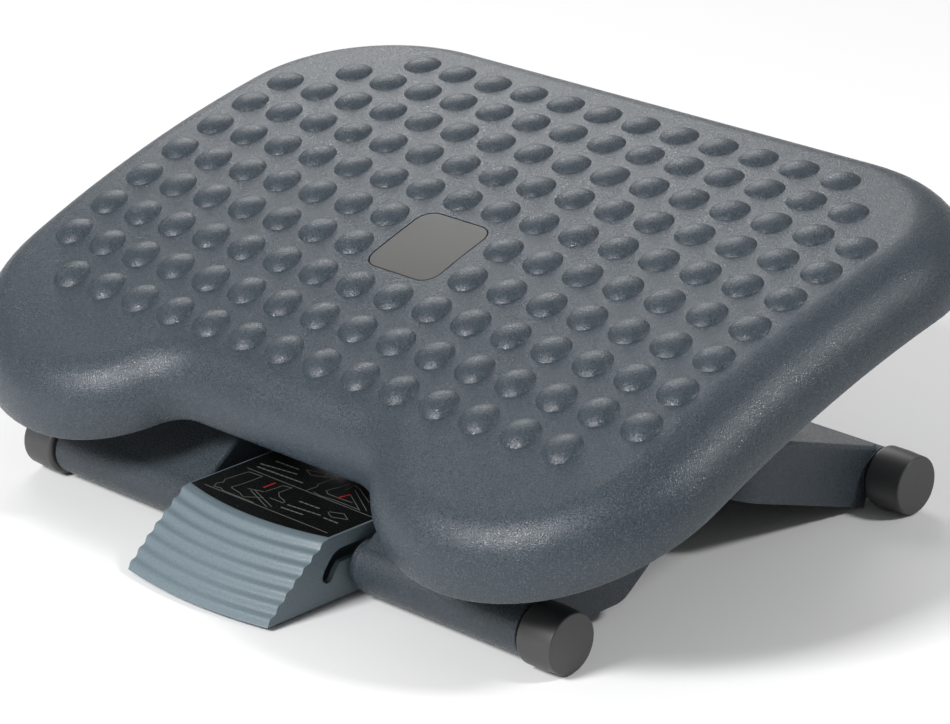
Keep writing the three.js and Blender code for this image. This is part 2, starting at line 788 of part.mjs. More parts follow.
function frontLeg() {
  const shellSpan = [-legShellDepth, legTubeRadius];
  const hollowSpan = [-legShellDepth - overrun, legTubeRadius - legSkin];
  const shell = cut(plan(frontPlan(0, 0), shellSpan), plan(frontPlan(legSkin, -overrun), hollowSpan));
  const parts = [shell, ...frontRibs()];
  parts.push(roundBar(hingeBarrelRadius, [-frontBarrelHalf, frontBarrelHalf], hingeReach, 0));
  sides.forEach(({ side }) => {
    parts.push(profile(frontWallProfile(), sideSpan(side, legHalfWidth - legSkin, legHalfWidth)));
    parts.push(frontTube(side));
    const bossSpan = sideSpan(side, frontOpeningHalf, frontOpeningHalf + legSkin + crossingBossLength);
    parts.push(roundBar(crossingBossRadius, bossSpan, crossingReach, 0));
  });
  const wide = [-legHalfWidth, legHalfWidth];
  const betweenWalls = [-frontBarrelHalf, frontBarrelHalf];
  const cuts = [
    roundBar(hingeRodRadius + runningGap, wide, hingeReach, 0, pinSides),
    roundBar(scissorPinRadius + runningGap, betweenWalls, crossingReach, 0, pinSides),
  ];
  sides.forEach(({ side }) => cuts.push(...frontTubeBores(side)));
  return piece('front_leg', cut(joined(...parts), ...cuts), legMoulding);
}

// The scissor pins sit in the front leg and turn in the rear leg's tongue
function scissorParts() {
  const outer = frontOpeningHalf + legSkin + crossingBossLength + runningGap;
  const clipNear = tongueHalfWidth - legSkin - runningGap - clipThickness;
  return sides.flatMap((one) => {
    const place = [crossingReach, 0];
    const shankSpan = sideSpan(one.side, clipNear - pinTail, outer + scissorHeadThickness / 2);
    const headSpan = sideSpan(one.side, outer, outer + scissorHeadThickness);
    const shank = roundBar(scissorPinRadius, shankSpan, ...place, pinSides);
    const head = roundBar(scissorHeadRadius, headSpan, ...place, pinSides);
    const pin = piece(`scissor_pin_${one.word}`, joined(shank, head), zincSteel);
    return [pin, clip('scissor_clip', scissorPinRadius, one, clipNear, place)];
  });
}

// Rear leg: Y runs down along the leg to the rear tube's axis and Z square to it

const slideFromRear = -rearCrossingReach - slideReach;

function rearPlan(inset, rearEdge) {
  const outer = legHalfWidth - inset;
  const shoulder = -rearShoulderReach + inset;
  const tongue = tongueHalfWidth - inset;
  const corner = rearShoulderCorner - inset;
  const fillet = rearShoulderFillet + inset;
  const filletX = tongueHalfWidth + rearShoulderFillet;
  const filletY = -rearShoulderReach - rearShoulderFillet;
  const end = slideFromRear - barrelLap + inset;
  const shape = new THREE.Shape();
  shape.moveTo(-outer, rearEdge);
  shape.lineTo(-outer, shoulder + corner);
  shape.absarc(corner - outer, shoulder + corner, corner, Math.PI, Math.PI * 3 / 2, false);
  shape.absarc(-filletX, filletY, fillet, Math.PI / 2, 0, true);
  shape.lineTo(-tongue, end);
  shape.lineTo(tongue, end);
  shape.absarc(filletX, filletY, fillet, Math.PI, Math.PI / 2, true);
  shape.absarc(outer - corner, shoulder + corner, corner, -Math.PI / 2, 0, false);
  shape.lineTo(outer, rearEdge);
  return shape;
}

function rearRibs() {
  const top = legTubeRadius - legSkin / 2;
  const ribs = [];
  const bottom = -legShellDepth + legSkin;
  [1, 2].forEach((place) => {
    const y = (-rearShoulderReach * place) / 3;
    sides.forEach(({ side }) => {
      const span = sideSpan(side, latchCheekInner + latchCheekWall / 2, legHalfWidth - legSkin / 2);
      ribs.push(block(span, [y, y + legRibWall], [bottom, top]));
    });
  });
  sides.forEach(({ side }) => {
    const x = side * (tongueHalfWidth + legHalfWidth) / 2;
    const span = [x - legRibWall / 2, x + legRibWall / 2];
    ribs.push(block(span, [-rearShoulderReach + legSkin / 2, -legTubeRadius / 2], [bottom, top]));
  });
  return ribs;
}

// Cheeks under the rear panel that carry the latch rod
function latchCheek(side) {
  const [y, z] = latchRodInLeg;
  const rim = latchRodRadius + latchCheekRim;
  const top = legTubeRadius - legSkin / 2;
  const shape = new THREE.Shape();
  shape.moveTo(-legTubeRadius / 2, top);
  shape.lineTo(-rearShoulderReach, top);
  shape.lineTo(-rearShoulderReach, 0);
  shape.absarc(y, z, rim, Math.PI, Math.PI * 3 / 2, false);
  shape.absarc(y, z, rim, -Math.PI / 2, 0, false);
  shape.lineTo(-legTubeRadius / 2, 0);
  return solidOf(profileGeometry(shape, sideSpan(side, latchCheekInner, latchCheekInner + latchCheekWall)));
}

function rearLeg() {
  const shellSpan = [-rearWallDepth, legTubeRadius];
  const hollowSpan = [-rearWallDepth - overrun, legTubeRadius - legSkin];
  const shell = cut(plan(rearPlan(0, 0), shellSpan), plan(rearPlan(legSkin, overrun), hollowSpan));
  const tongueEnd = [slideFromRear - barrelLap - overrun, -rearShoulderReach - rearShoulderFillet];
  const underTongue = [-rearWallDepth - overrun, -legShellDepth];
  const trims = [block([-legHalfWidth, legHalfWidth], tongueEnd, underTongue)];
  sides.forEach(({ side }) => {
    const corner = sideSpan(side, legHalfWidth - rearCornerCut, legHalfWidth + overrun);
    const through = [-rearWallDepth - overrun, legTubeRadius + overrun];
    trims.push(block(corner, [-rearWallGap, overrun], through));
  });
  const parts = [cut(shell, ...trims), ...rearRibs()];
  const tubeHalf = legHalfWidth + legTubeOverhang;
  parts.push(roundBar(legTubeRadius, [-tubeHalf, tubeHalf], 0, 0));
  parts.push(roundBar(slideBarrelRadius, [-tongueHalfWidth, tongueHalfWidth], slideFromRear, 0));
  sides.forEach(({ side }) => parts.push(latchCheek(side)));
  const wide = [-legHalfWidth - overrun, legHalfWidth + overrun];
  const acrossTongue = [-tongueHalfWidth, tongueHalfWidth];
  const cuts = [
    roundBar(legTubeRadius - legTubeWall, wide, 0, 0),
    roundBar(scissorPinRadius + runningGap, wide, -rearCrossingReach, 0, pinSides),
    roundBar(slidePinRadius + runningGap, wide, slideFromRear, 0, pinSides),
    roundBar(latchRodRadius + runningGap, acrossTongue, ...latchRodInLeg, pinSides),
  ];
  return piece('rear_leg', cut(joined(...parts), ...cuts), legMoulding);
}

function latchRod() {
  const half = latchCheekInner + latchCheekWall + latchRodTail;
  return piece('latch_rod', roundBar(latchRodRadius, [-half, half], ...latchRodInLeg, pinSides), zincSteel);
}

function slidePinParts() {
  const clipNear = railWebInner + bracketWall + runningGap;
  const half = clipNear + clipThickness + pinTail;
  const place = [slideFromRear, 0];
  const pin = roundBar(slidePinRadius, [-half, half], ...place, pinSides);
  const clips = sides.map((one) => clip('slide_clip', slidePinRadius, one, clipNear, place));
  return [piece('slide_pin', pin, zincSteel), ...clips];
}

// End feet: a barrel that stands on one of its flats and a spigot in the tube

function foot(name, side) {
  const near = legHalfWidth + legTubeOverhang + footGap;
  const far = near + footLength;
  const radius = tubeHeight / Math.cos(Math.PI / roundSides);
  const points = [
    [0, near - footSpigotLength],
    [footSpigotRadius, near - footSpigotLength],
    [footSpigotRadius, near],
    [radius - footBevel, near],
    [radius, near + footBevel],
    [radius, near + footBevel + footStraight],
    [radius - footDraft, far - footBevel / 2],
    [radius - footDraft - footBevel / 2, far],
    [0, far],
  ];
  const outline = points.map(([r, x]) => new THREE.Vector2(r, x));
  const lathe = new THREE.LatheGeometry(outline, roundSides, Math.PI / roundSides);
  lathe.rotateZ((-side * Math.PI) / 2);
  return piece(name, solidOf(lathe), footMoulding);
}

// Pedal: Y and Z from the front tube's axis

const treadLength = Math.hypot(pedalLipReach - pedalDeckFront, pedalDeckHeight + pedalLipDrop);

// The tread's ridged slope, from the deck's front edge down to the lip
function treadPoints() {
  const start = [-pedalDeckFront, pedalDeckHeight];
  const end = [-pedalLipReach, -pedalLipDrop];
  const outward = [(end[1] - start[1]) / treadLength, (start[0] - end[0]) / treadLength];
  const points = [];
  const halves = pedalRidges * 2;
  for (let step = 0; step <= halves; step += 1) {
    const along = step / halves;
    const lift = step % 2 === 1 ? pedalRidgeHeight : 0;
    points.push([
      THREE.MathUtils.lerp(start[0], end[0], along) + outward[0] * lift,
      THREE.MathUtils.lerp(start[1], end[1], along) + outward[1] * lift,
    ]);
  }
  return points;
}

// Pushes the front of the pedal forward in the middle of its width
function bulged(geometry) {
  const position = geometry.attributes.position;
  for (let i = 0; i < position.count; i += 1) {
    const across = position.getX(i) / pedalHalfWidth;
    const y = position.getY(i);
    const height = (position.getZ(i) + pedalLipDrop) / (pedalDeckHeight + pedalLipDrop);
    const bulge = THREE.MathUtils.lerp(pedalLipBulge, pedalTopBulge, THREE.MathUtils.clamp(height, 0, 1));
    const weight = y < -pedalDeckFront + pedalWall ? 1 : 0;
    position.setY(i, y - weight * bulge * (1 - across ** 2));
  }
  return geometry;
}

function pedalSlotCurve() {
  const rise = (pedalTongueTop + pedalBandFront) / 2;
  const points = pedalSlotShares.map(([y, z]) => {
    return new THREE.Vector2(pedalSlotWidth * y, rise + pedalSlotWidth * z);
  });
  points.push(new THREE.Vector2(pedalTongueRear + pedalSlotWidth, rise));
  return new THREE.SplineCurve(points);
}

function ribbon(curve, width, steps) {
  const left = [];
  const right = [];
  for (let step = 0; step <= steps; step += 1) {
    const point = curve.getPoint(step / steps);
    const ahead = curve.getTangent(step / steps);
    left.push([point.x - (ahead.y * width) / 2, point.y + (ahead.x * width) / 2]);
    right.unshift([point.x + (ahead.y * width) / 2, point.y - (ahead.x * width) / 2]);
  }
  return right.concat(left);
}

function pedal() {
  const outline = outlineShape([
    ...treadPoints(),
    [-pedalHeel, -pedalLipDrop],
    [pedalTongueRear, -pedalLipDrop / 2],
    [pedalTongueRear, pedalTongueTop],
    [pedalTongueRear, pedalBandFront],
    [pedalDeckRear, pedalBandRear],
    [pedalDeckRear, pedalDeckHeight],
  ]);
  const wallSlope = pedalWall * treadLength / (pedalDeckHeight + pedalLipDrop);
  const inside = outlineShape([
    [-pedalDeckFront - pedalWall / 2 + wallSlope / 2, pedalDeckHeight - pedalWall],
    [-pedalLipReach - overrun + wallSlope, -pedalLipDrop - overrun],
    [pedalDeckRear + overrun, -pedalLipDrop - overrun],
    [pedalDeckRear + overrun, pedalDeckHeight - pedalWall],
  ]);
  const innerHalf = pedalHalfWidth - pedalWall;
  const body = solidOf(bulged(profileGeometry(outline, [-pedalHalfWidth, pedalHalfWidth], pedalStripes)));
  const hollow = solidOf(bulged(profileGeometry(inside, [-innerHalf, innerHalf], pedalStripes)));
  const wide = [-pedalHalfWidth - overrun, pedalHalfWidth + overrun];
  const slot = profile(ribbon(pedalSlotCurve(), pedalSlotWidth, roundSides), wide);
  const parts = [cut(body, hollow, slot)];
  sides.forEach(({ side }) => {
    const bossSpan = sideSpan(side, innerHalf, pedalHalfWidth + pedalBossLength);
    parts.push(roundBar(pedalBossRadius, bossSpan, 0, 0, pinSides));
  });
  const holes = latchScrewPlaces().map((y) => {
    return uprightRod(latchScrewShankRadius + runningGap, 0, y, [0, pedalDeckHeight - latchScrewSkin]);
  });
  return piece('pedal', cut(joined(...parts), ...holes), pedalMoulding);
}

function pedalLabel() {
  const half = pedalHalfWidth - labelInset;
  const shape = outlineShape([
    [-pedalDeckFront + labelInset / 2, 0],
    [-pedalDeckFront + labelInset / 2, labelThickness],
    [pedalDeckRear - labelInset, labelThickness],
    [pedalDeckRear - labelInset, 0],
  ]);
  const geometry = bulged(profileGeometry(shape, [-half, half], pedalStripes));
  geometry.translate(0, 0, pedalDeckHeight);
  return piece('pedal_label', solidOf(geometry), labelFilm);
}

// Latch bar: a plate with two notched webs. The first notch holds the rod at the lowest height.

function latchScrewPlaces() {
  const middle = (latchBarFront + pedalDeckRear) / 2;
  return [middle - latchScrewSpacing / 2, middle + latchScrewSpacing / 2];
}

function rodFromTube(swing) {
  return less(rearLegPoint(latchRodPlace, swing), frontAxis);
}

function latchNotchPoints() {
  const clear = latchRodRadius + runningGap;
  const points = [];
  const first = rodFromTube(0);
  points.push([first[0] + clear + latchHookLength, first[1] - latchHookDrop]);
  points.push([first[0] + clear, first[1] - latchHookDrop]);
  for (let step = 0; step <= latchSteps; step += 1) {
    const [y, z] = rodFromTube((heightRange * step) / latchSteps);
    const edge = z + clear + latchToothGap;
    const depth = step === 0 ? 0 : latchToothDepth;
    if (step > 0) {
      points.push([y + clear, edge]);
    }
    points.push([y + clear, edge + depth]);
    points.push([y - latchRodRadius / 2, edge + depth]);
  }
  const [lastY, lastZ] = rodFromTube(heightRange);
  points.push([lastY - clear - latchHookLength / 2, lastZ + clear]);
  points.push([lastY - clear - latchHookLength / 2, lastZ - latchHookLength]);
  return points;
}

function latchBarTop(y) {
  const start = pedalDeckHeight - pedalWall - runningGap;
  const crest = start + latchBarCrestRise;
  const end = rodFromTube(0)[0] + latchRodRadius + runningGap + latchHookLength;
  if (y < latchBarCrest) {
    return THREE.MathUtils.lerp(start, crest, (y - pedalDeckRear) / (latchBarCrest - pedalDeckRear));
  }
  return THREE.MathUtils.lerp(crest, crest - latchBarEndDrop, (y - latchBarCrest) / (end - latchBarCrest));
}

function latchBar() {
  const notches = latchNotchPoints();
  const end = notches[0][0];
  const start = latchBarTop(pedalDeckRear);
  const top = [
    [end, latchBarTop(end)],
    [latchBarCrest, latchBarTop(latchBarCrest)],
    [pedalDeckRear, start],
    [latchBarFront, start],
  ];
  const under = top.map(([y, z]) => [y, z - latchBarPlate]).reverse();
  const plate = profile([...under, ...top], [-latchBarHalfWidth, latchBarHalfWidth]);
  const webOutline = [
    [latchBarFront, start - latchBarPlate],
    [pedalDeckRear, start - latchWebDepth],
    ...notches.slice().reverse(),
    ...top,
  ];
  const parts = [plate];
  sides.forEach(({ side }) => {
    parts.push(profile(webOutline, sideSpan(side, latchBarHalfWidth - latchBarWall, latchBarHalfWidth)));
  });
  const holes = latchScrewPlaces().map((y) => {
    return uprightRod(latchScrewShankRadius + runningGap, 0, y, [0, pedalDeckHeight]);
  });
  return piece('latch_bar', cut(joined(...parts), ...holes), darkNylon);
}

function latchScrews() {
  const top = latchBarTop(pedalDeckRear) - latchBarPlate - runningGap;
  const tip = pedalDeckHeight - latchScrewSkin - runningGap;
  return latchScrewPlaces().map((y, i) => {
    const head = uprightRod(screwHeadRadius, 0, y, [top - screwHeadThickness, top]);
    const shank = uprightRod(latchScrewShankRadius, 0, y, [top - screwHeadThickness / 2, tip]);
    return piece(i === 0 ? 'latch_screw_front' : 'latch_screw_rear', joined(head, shank), zincSteel);
  });
}

// Assembly

function turnedGroup([y, z], degrees, meshes) {
  const group = new THREE.Group();
  group.position.set(0, y, z);
  group.rotation.x = rad(degrees);
  group.add(...meshes);
  return group;
}

const seatedScrews = sides.flatMap((one) => [
  ...seatScrews(hingeSeat, 'hinge_bracket', one),
  ...seatScrews(railSeat, 'slide_rail', one),
]);
const trayMeshes = [
  trayShell(),
  centrePlate(),
  ...sides.map(hingeBracket),
  ...sides.map(slideRail),
  ...seatedScrews,
  ...trayHingeParts(),
];

const footrest = new THREE.Group();
footrest.add(turnedGroup(frontAxis, 0, sides.map(({ word, side }) => foot(`front_foot_${word}`, side))));
footrest.add(turnedGroup(rearAxis, 0, sides.map(({ word, side }) => foot(`rear_foot_${word}`, side))));
footrest.add(turnedGroup(frontAxis, frontLegAngle, [frontLeg(), ...scissorParts()]));
footrest.add(turnedGroup(rearAxis, -rearLegAngle, [rearLeg(), latchRod(), ...slidePinParts()]));
footrest.add(turnedGroup(trayMiddle, trayTilt, trayMeshes));
footrest.add(turnedGroup(frontAxis, 0, [pedal(), pedalLabel(), latchBar(), ...latchScrews()]));

export default footrest;
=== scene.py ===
# Tilting under desk footrest, dressed for its picture.
# The pieces are drawn in millimetres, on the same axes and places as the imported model, and are
# turned into metres when they are finished. X runs right, Y to the rear and Z up.
import math

import bmesh
import bpy
from mathutils import Matrix, Vector


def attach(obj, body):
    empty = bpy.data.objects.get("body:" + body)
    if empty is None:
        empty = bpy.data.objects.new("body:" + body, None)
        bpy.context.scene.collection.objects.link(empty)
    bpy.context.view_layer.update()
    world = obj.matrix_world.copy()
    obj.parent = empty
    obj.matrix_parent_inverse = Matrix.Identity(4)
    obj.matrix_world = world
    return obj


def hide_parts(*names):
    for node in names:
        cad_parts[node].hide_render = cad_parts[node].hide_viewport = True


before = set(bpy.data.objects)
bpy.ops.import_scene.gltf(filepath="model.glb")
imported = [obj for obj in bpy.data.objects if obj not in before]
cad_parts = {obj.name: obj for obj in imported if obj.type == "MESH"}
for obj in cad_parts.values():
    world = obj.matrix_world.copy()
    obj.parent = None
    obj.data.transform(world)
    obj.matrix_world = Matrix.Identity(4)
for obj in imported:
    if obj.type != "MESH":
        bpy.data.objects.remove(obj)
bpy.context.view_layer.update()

MM = 0.001
SAME_PLACE = 0.001
ROW_SNAP = 0.01
OVERRUN = 5.0  # cuts run past the faces that they open
SIDES = ((-1, "left"), (1, "right"))

# Linkage
FRONT_AXIS = (-104.0, 15.0)
FRONT_ANGLE = 35.4
CROSSING_REACH = 95.7
HINGE_REACH = 168.7
REAR_REACH = 172.2
SLIDE_REACH = 44.6
HEIGHT_RANGE = 12.0
REAR_SHARE = 0.455
TRAY_SHARE = 0.505
TRAY_LEAN = 0.65

# Tray
ARCH_RADIUS = 725.6
TRAY_HALF = 227.0
TRAY_REAR = 158.8
TRAY_CORNER = 93.0
TRAY_HORN = 187.8
TRAY_NOTCH = 149.5
NOSE_RADIUS = 80.0
NOTCH_RADIUS = 25.0
RIM_DEPTH = 30.0
RIM_ROLL = 28.0
RIM_LIP = 1.3  # rounding of the rim's lower edge
CORNER_STEP = 5.0
NOTCH_STEPS = 5
SIDE_STEPS = 16
REAR_STEPS = 12
# The crown's drawing ends this far in: at the notch, close to the last bumps, and elsewhere
CROWN_INSETS = (26.0, 29.0)
NOTCH_SPREAD = (62.0, 100.0)
RIM_START = 25.0
CROWN_SHARES = (0.66, 0.33, 0)
LIP_TURN = 0.3
RIM_STEPS = 13
HOLLOW_STEPS = 9
CORE_STEPS = 8
TRAY_SKIN = 3.0
RIB_DEPTH = 10.0
RIB_WALL = 2.0
RIB_SPACING = 76.0
HINGE_ARC = 14.2
HINGE_DEPTH = 32.0
BUMP_COLUMNS = 16
BUMP_ROWS = 10
BUMP_PITCH = 25.0
ROW_PITCH = 25.2
ROW_SPACING = ROW_PITCH / 4
BUMP_SIDES = 18
BUMP_FOOT = 9.8
# Radius and height of the rings of a bump, from its foot to the flat spot at its top
BUMP_RINGS = ((9.0, 0.7), (7.4, 1.65), (5.0, 2.6), (2.0, 3.2))
PLATE_HALF_WIDTH = 22.5
PLATE_HALF_LENGTH = 23.8
PLATE_CORNER = 9.0
PLATE_THICKNESS = 1.2
PLATE_GROOVE = 0.6
PLATE_EDGE = 0.35
PLATE_EDGE_STEPS = 2
PLATE_STEP = 9.0
RUNNING_GAP = 0.35

# Legs
TUBE_RADIUS = 13.0
TUBE_WALL = 3.0
LEG_SKIN = 3.0
LEG_HALF = 154.5
TUBE_OVERHANG = 0.4
TUBE_END = LEG_HALF + TUBE_OVERHANG
TUBE_EDGE = 0.7
TUBE_ROUNDING = 1.2
SHELL_DEPTH = 12.0
LEG_EDGE = 2.6
LEG_EDGE_STEPS = 4
OPENING_HALF = 53.5
BEAM_GAP = 32.3
BEAM_LENGTH = 20.0
BEAM_CORNER = 16.0
BARREL_HALF = 98.0
FRONT_WALL_DEPTH = 38.4
FLOOR_GAP = 9.0
WALL_TIP = 6.0
WALL_TAPER = 18.0
WALL_BENDS = (16, 10)
WALL_LAP = 0.4
BEND_SHARE = 0.49  # the most of a side that a bend takes
HINGE_BARREL = 9.0
BARREL_LAP = 5.0
BARREL_EDGE = 0.5
TUBE_INNER_END = 53.0
COLLAR_RADIUS = 11.8
COLLAR_LENGTH = 3.2
COLLAR_EDGE = 0.4
SHOULDER_REACH = 106.7
REAR_WALL_DEPTH = 17.3
REAR_WALL_GAP = 6.0
SHOULDER_CORNER = 18.0
SHOULDER_FILLET = 12.0
REAR_CORNER_CUT = 4.0
TONGUE_HALF = 50.0
LEG_RIB = 2.5
SLIDE_BARREL = 8.0
SLIDE_Y = -REAR_REACH - SLIDE_REACH
BOSS_RADIUS = 9.0
BOSS_LENGTH = 3.5
BOSS_EDGE = 0.4
LEG_RIB_SPAN = (LEG_SKIN - SHELL_DEPTH, TUBE_RADIUS - LEG_SKIN / 2)

# Feet
FOOT_RADIUS = 15.0
FOOT_LENGTH = 20.5
FOOT_GAP = 1.6
FOOT_DRAFT = 0.5
FOOT_ROUNDING = 2.2
FOOT_EDGE = 0.9
FOOT_BELT = 11.0  # straight part, before the draft
# Dish and gate mark of a foot's end face, as depth and radius
FOOT_FACE = ((0.05, 8.0), (0.1, 1.0), (0.1, 0.7), (0, 0.6), (0, 0))
FOOT_EDGE_START = 86  # degrees, after the draft
FOOT_STEP = 18.0
FOOT_TURN_STEPS = 64
SPIGOT_RADIUS = 9.4
SPIGOT_LENGTH = 16.0
SPIGOT_EDGE = 0.8

# Pins, clips and screws
SCISSOR_PIN = 4.0
SCISSOR_HEAD = 6.5
SCISSOR_HEAD_THICKNESS = 2.5
# Rounding of a scissor pin's head: back from its face, in from its rim
SCISSOR_HEAD_FORM = ((1.0, 0.1), (0.3, 1.0), (0.0, 2.4))
SCISSOR_HEAD_SEAT = (0.4, 0.2)  # edge at its underside, along and in
HINGE_ROD = 3.0
SLIDE_PIN = 3.0
CLIP_THICKNESS = 1.2
CLIP_RIM = 3.2
# A clip's section, as places along from its near face and out from its grip
CLIP_FORM = (
    (0, 0), (0, 2.55), (0.3, 2.85), (0.9, 2.85), (1.2, 2.45),
    (0.75, 1.425), (1.2, 0.25), (0.35, 0), (0, 0),
)
CLIP_TEETH = 4
CLIP_NOTCH = 0.8
PIN_TAIL = 2.0
PIN_EDGE = 0.5
SCREW_SHANK = 1.9
SCREW_HEAD = 3.6
SCREW_HEAD_THICKNESS = 2.3
SCREW_LENGTH = 8.6
# A screw's head, as shares of its thickness and radius, and its cross recess, as shares too
SCREW_HEAD_FORM = ((0, 0), (0, 0.45), (0.12, 0.75), (0.42, 0.96), (0.7, 1), (1, 0.97))
RECESS_ARM = 0.55
RECESS_HALF = 0.17
RECESS_DEPTH = 0.4
THREAD_TURNS = 5
THREAD_FORM = ((0.3, 0.86), (0.8, 1))  # shares of a turn and of the shank
SCREW_TIP = 0.8
SCREW_TIP_SHARE = 0.3
BRACKET_WALL = 4.0
FLANGE = 3.0
FLANGE_WIDTH = 20.0
BRACKET_HALF = 15.0
HINGE_PAD = 14.0
RAIL_PAD = 17.0
SEAT_GAP = 3.0
SCREW_INSET = 6.0

# Pedal
PEDAL_HALF = 47.2
PEDAL_WALL = 3.0
DECK_HEIGHT = 18.0
DECK_FRONT = 21.5
DECK_REAR = 47.0
LIP_REACH = 60.5
LIP_DROP = 13.2
TOP_BULGE = 7.0
LIP_BULGE = 5.0
RIDGES = 7
RIDGE_HEIGHT = 1.3
TREAD_BOW = 1.2
RIDGE_STEPS = 8
PEDAL_HEEL = 2.5
TONGUE_REAR = 9.0
TONGUE_TOP = 4.0
BAND_FRONT = 10.2
BAND_REAR = 13.5
# Inner ribs: their places from the middle and their outline from the tube's axis
PEDAL_RIB_PLACE = 36.0
PEDAL_RIB_WALL = 2.0
PEDAL_RIB = ((-21.3, 16.3), (-51.3, -7.7), (8.0, -7.7), (24.0, -2.0), (24.0, 16.3))
SLOT_WIDTH = 5.0
SLOT_BAND = 6.8
SLOT_STEPS = 6
SLOT_END_STEP = 20.0
SLOT_SHARES = ((-4.5, -1.5), (-4.05, -0.8), (-3.2, 0), (-1.95, 0.15), (0, 0.1))
PEDAL_BOSS = 3.4
PEDAL_BOSS_LENGTH = 6.5
PEDAL_STRIPES = 26
LABEL_THICKNESS = 0.3
LABEL_INSET = 1.2
LATCH_ROD = 2.5
LATCH_ROD_EDGE = 0.4
LATCH_BACK = 62.92
LATCH_RISE = 1.33
CHEEK_INNER = 22.0
CHEEK_WALL = 3.0
CHEEK_RIM = 4.5
CHEEK_STEP = 12.0
LATCH_TAIL = 1.5
LATCH_SCREW_SPACING = 14.0
LATCH_SCREW_SHANK = 1.5
LATCH_HOLE_SKIN = 0.7
LATCH_BAR_FRONT = 20.0

TURN_STEPS = 48
PIN_STEPS = 24
HOLE_STEPS = 12
ARC_STEP = 6.0  # degrees
EDGE_STEP = 30.0
ROUND_STEP = 22.0
CREASE = 38.0
TRAY_CREASE = 30.0
PEDAL_CREASE = 32.0
FOOT_CREASE = 42.0


# Places, as [y, z]


def turned(place, degrees):
    angle = math.radians(degrees)
    y, z = place
    return (y * math.cos(angle) - z * math.sin(angle), y * math.sin(angle) + z * math.cos(angle))


def shifted(place, by):
    return (place[0] + by[0], place[1] + by[1])


def less(place, by):
    return (place[0] - by[0], place[1] - by[1])


crossing = shifted(FRONT_AXIS, turned((CROSSING_REACH, 0), FRONT_ANGLE))
rear_rise = crossing[1] - FRONT_AXIS[1]
REAR_AXIS = (crossing[0] + math.sqrt(REAR_REACH**2 - rear_rise**2), FRONT_AXIS[1])
REAR_ANGLE = math.degrees(math.asin(rear_rise / REAR_REACH))
tray_hinge = shifted(FRONT_AXIS, turned((HINGE_REACH, 0), FRONT_ANGLE))
slide_place = shifted(crossing, turned((-SLIDE_REACH, 0), -REAR_ANGLE))
hinge_from_slide = less(tray_hinge, slide_place)
TRAY_TILT = math.degrees(math.atan2(hinge_from_slide[1], hinge_from_slide[0])) + TRAY_LEAN


def arch_place(arc, depth):
    angle = arc / ARCH_RADIUS
    radius = ARCH_RADIUS - depth
    return (radius * math.sin(angle), radius * math.cos(angle) - ARCH_RADIUS)


hinge_in_tray = arch_place(HINGE_ARC, HINGE_DEPTH)
TRAY_MIDDLE = less(tray_hinge, turned(hinge_in_tray, TRAY_TILT))
slide_in_tray = turned(less(slide_place, TRAY_MIDDLE), -TRAY_TILT)


def slide_travel():
    moved_hinge = shifted(FRONT_AXIS, turned((HINGE_REACH, 0), FRONT_ANGLE + HEIGHT_RANGE))
    moved_crossing = shifted(FRONT_AXIS, turned((CROSSING_REACH, 0), FRONT_ANGLE + HEIGHT_RANGE))
    swung = turned(less(slide_place, crossing), -HEIGHT_RANGE * REAR_SHARE)
    pin = less(shifted(moved_crossing, swung), moved_hinge)
    in_tray = turned(pin, -TRAY_TILT - HEIGHT_RANGE * TRAY_SHARE)
    return less(in_tray, less(slide_in_tray, hinge_in_tray))


slide_run = slide_travel()[0]
rail_ends = (slide_in_tray[0] + min(0, slide_run), slide_in_tray[0] + max(0, slide_run))
HINGE_SEAT = {
    "inner": BARREL_HALF + SEAT_GAP,
    "y": (hinge_in_tray[0] - BRACKET_HALF, hinge_in_tray[0] + BRACKET_HALF),
    "pad": HINGE_PAD,
}
RAIL_SEAT = {
    "inner": TONGUE_HALF + SEAT_GAP,
    "y": (rail_ends[0] - BRACKET_HALF, rail_ends[1] + BRACKET_HALF),
    "pad": RAIL_PAD,
}
SEAT_SIDES = [(side, seat) for side, _ in SIDES for seat in (HINGE_SEAT, RAIL_SEAT)]
latch_rod_place = shifted(REAR_AXIS, (-LATCH_BACK, LATCH_RISE))
latch_rod_in_leg = turned(less(latch_rod_place, REAR_AXIS), REAR_ANGLE)
# Where the drawings of a body are carried, and how far they are turned about X
BODY_PLACES = {
    "front_feet": (FRONT_AXIS, 0),
    "front_leg": (FRONT_AXIS, FRONT_ANGLE),
    "rear_leg": (REAR_AXIS, -REAR_ANGLE),
    "rear_feet": (REAR_AXIS, 0),
    "tray": (TRAY_MIDDLE, TRAY_TILT),
    "pedal": (FRONT_AXIS, 0),
}


# Finishes


class Socket:
    """A shader output that takes part in Python arithmetic."""

    def __init__(self, finish, output):
        self.finish = finish
        self.output = output

    def _math(self, operation, first, second):
        return self.finish.node("ShaderNodeMath", {"operation": operation}, {0: first, 1: second})

    def __add__(self, other):
        return self._math("ADD", self, other)

    __radd__ = __add__

    def __sub__(self, other):
        return self._math("SUBTRACT", self, other)

    def __rsub__(self, other):
        return self._math("SUBTRACT", other, self)

    def __mul__(self, other):
        return self._math("MULTIPLY", self, other)

    __rmul__ = __mul__


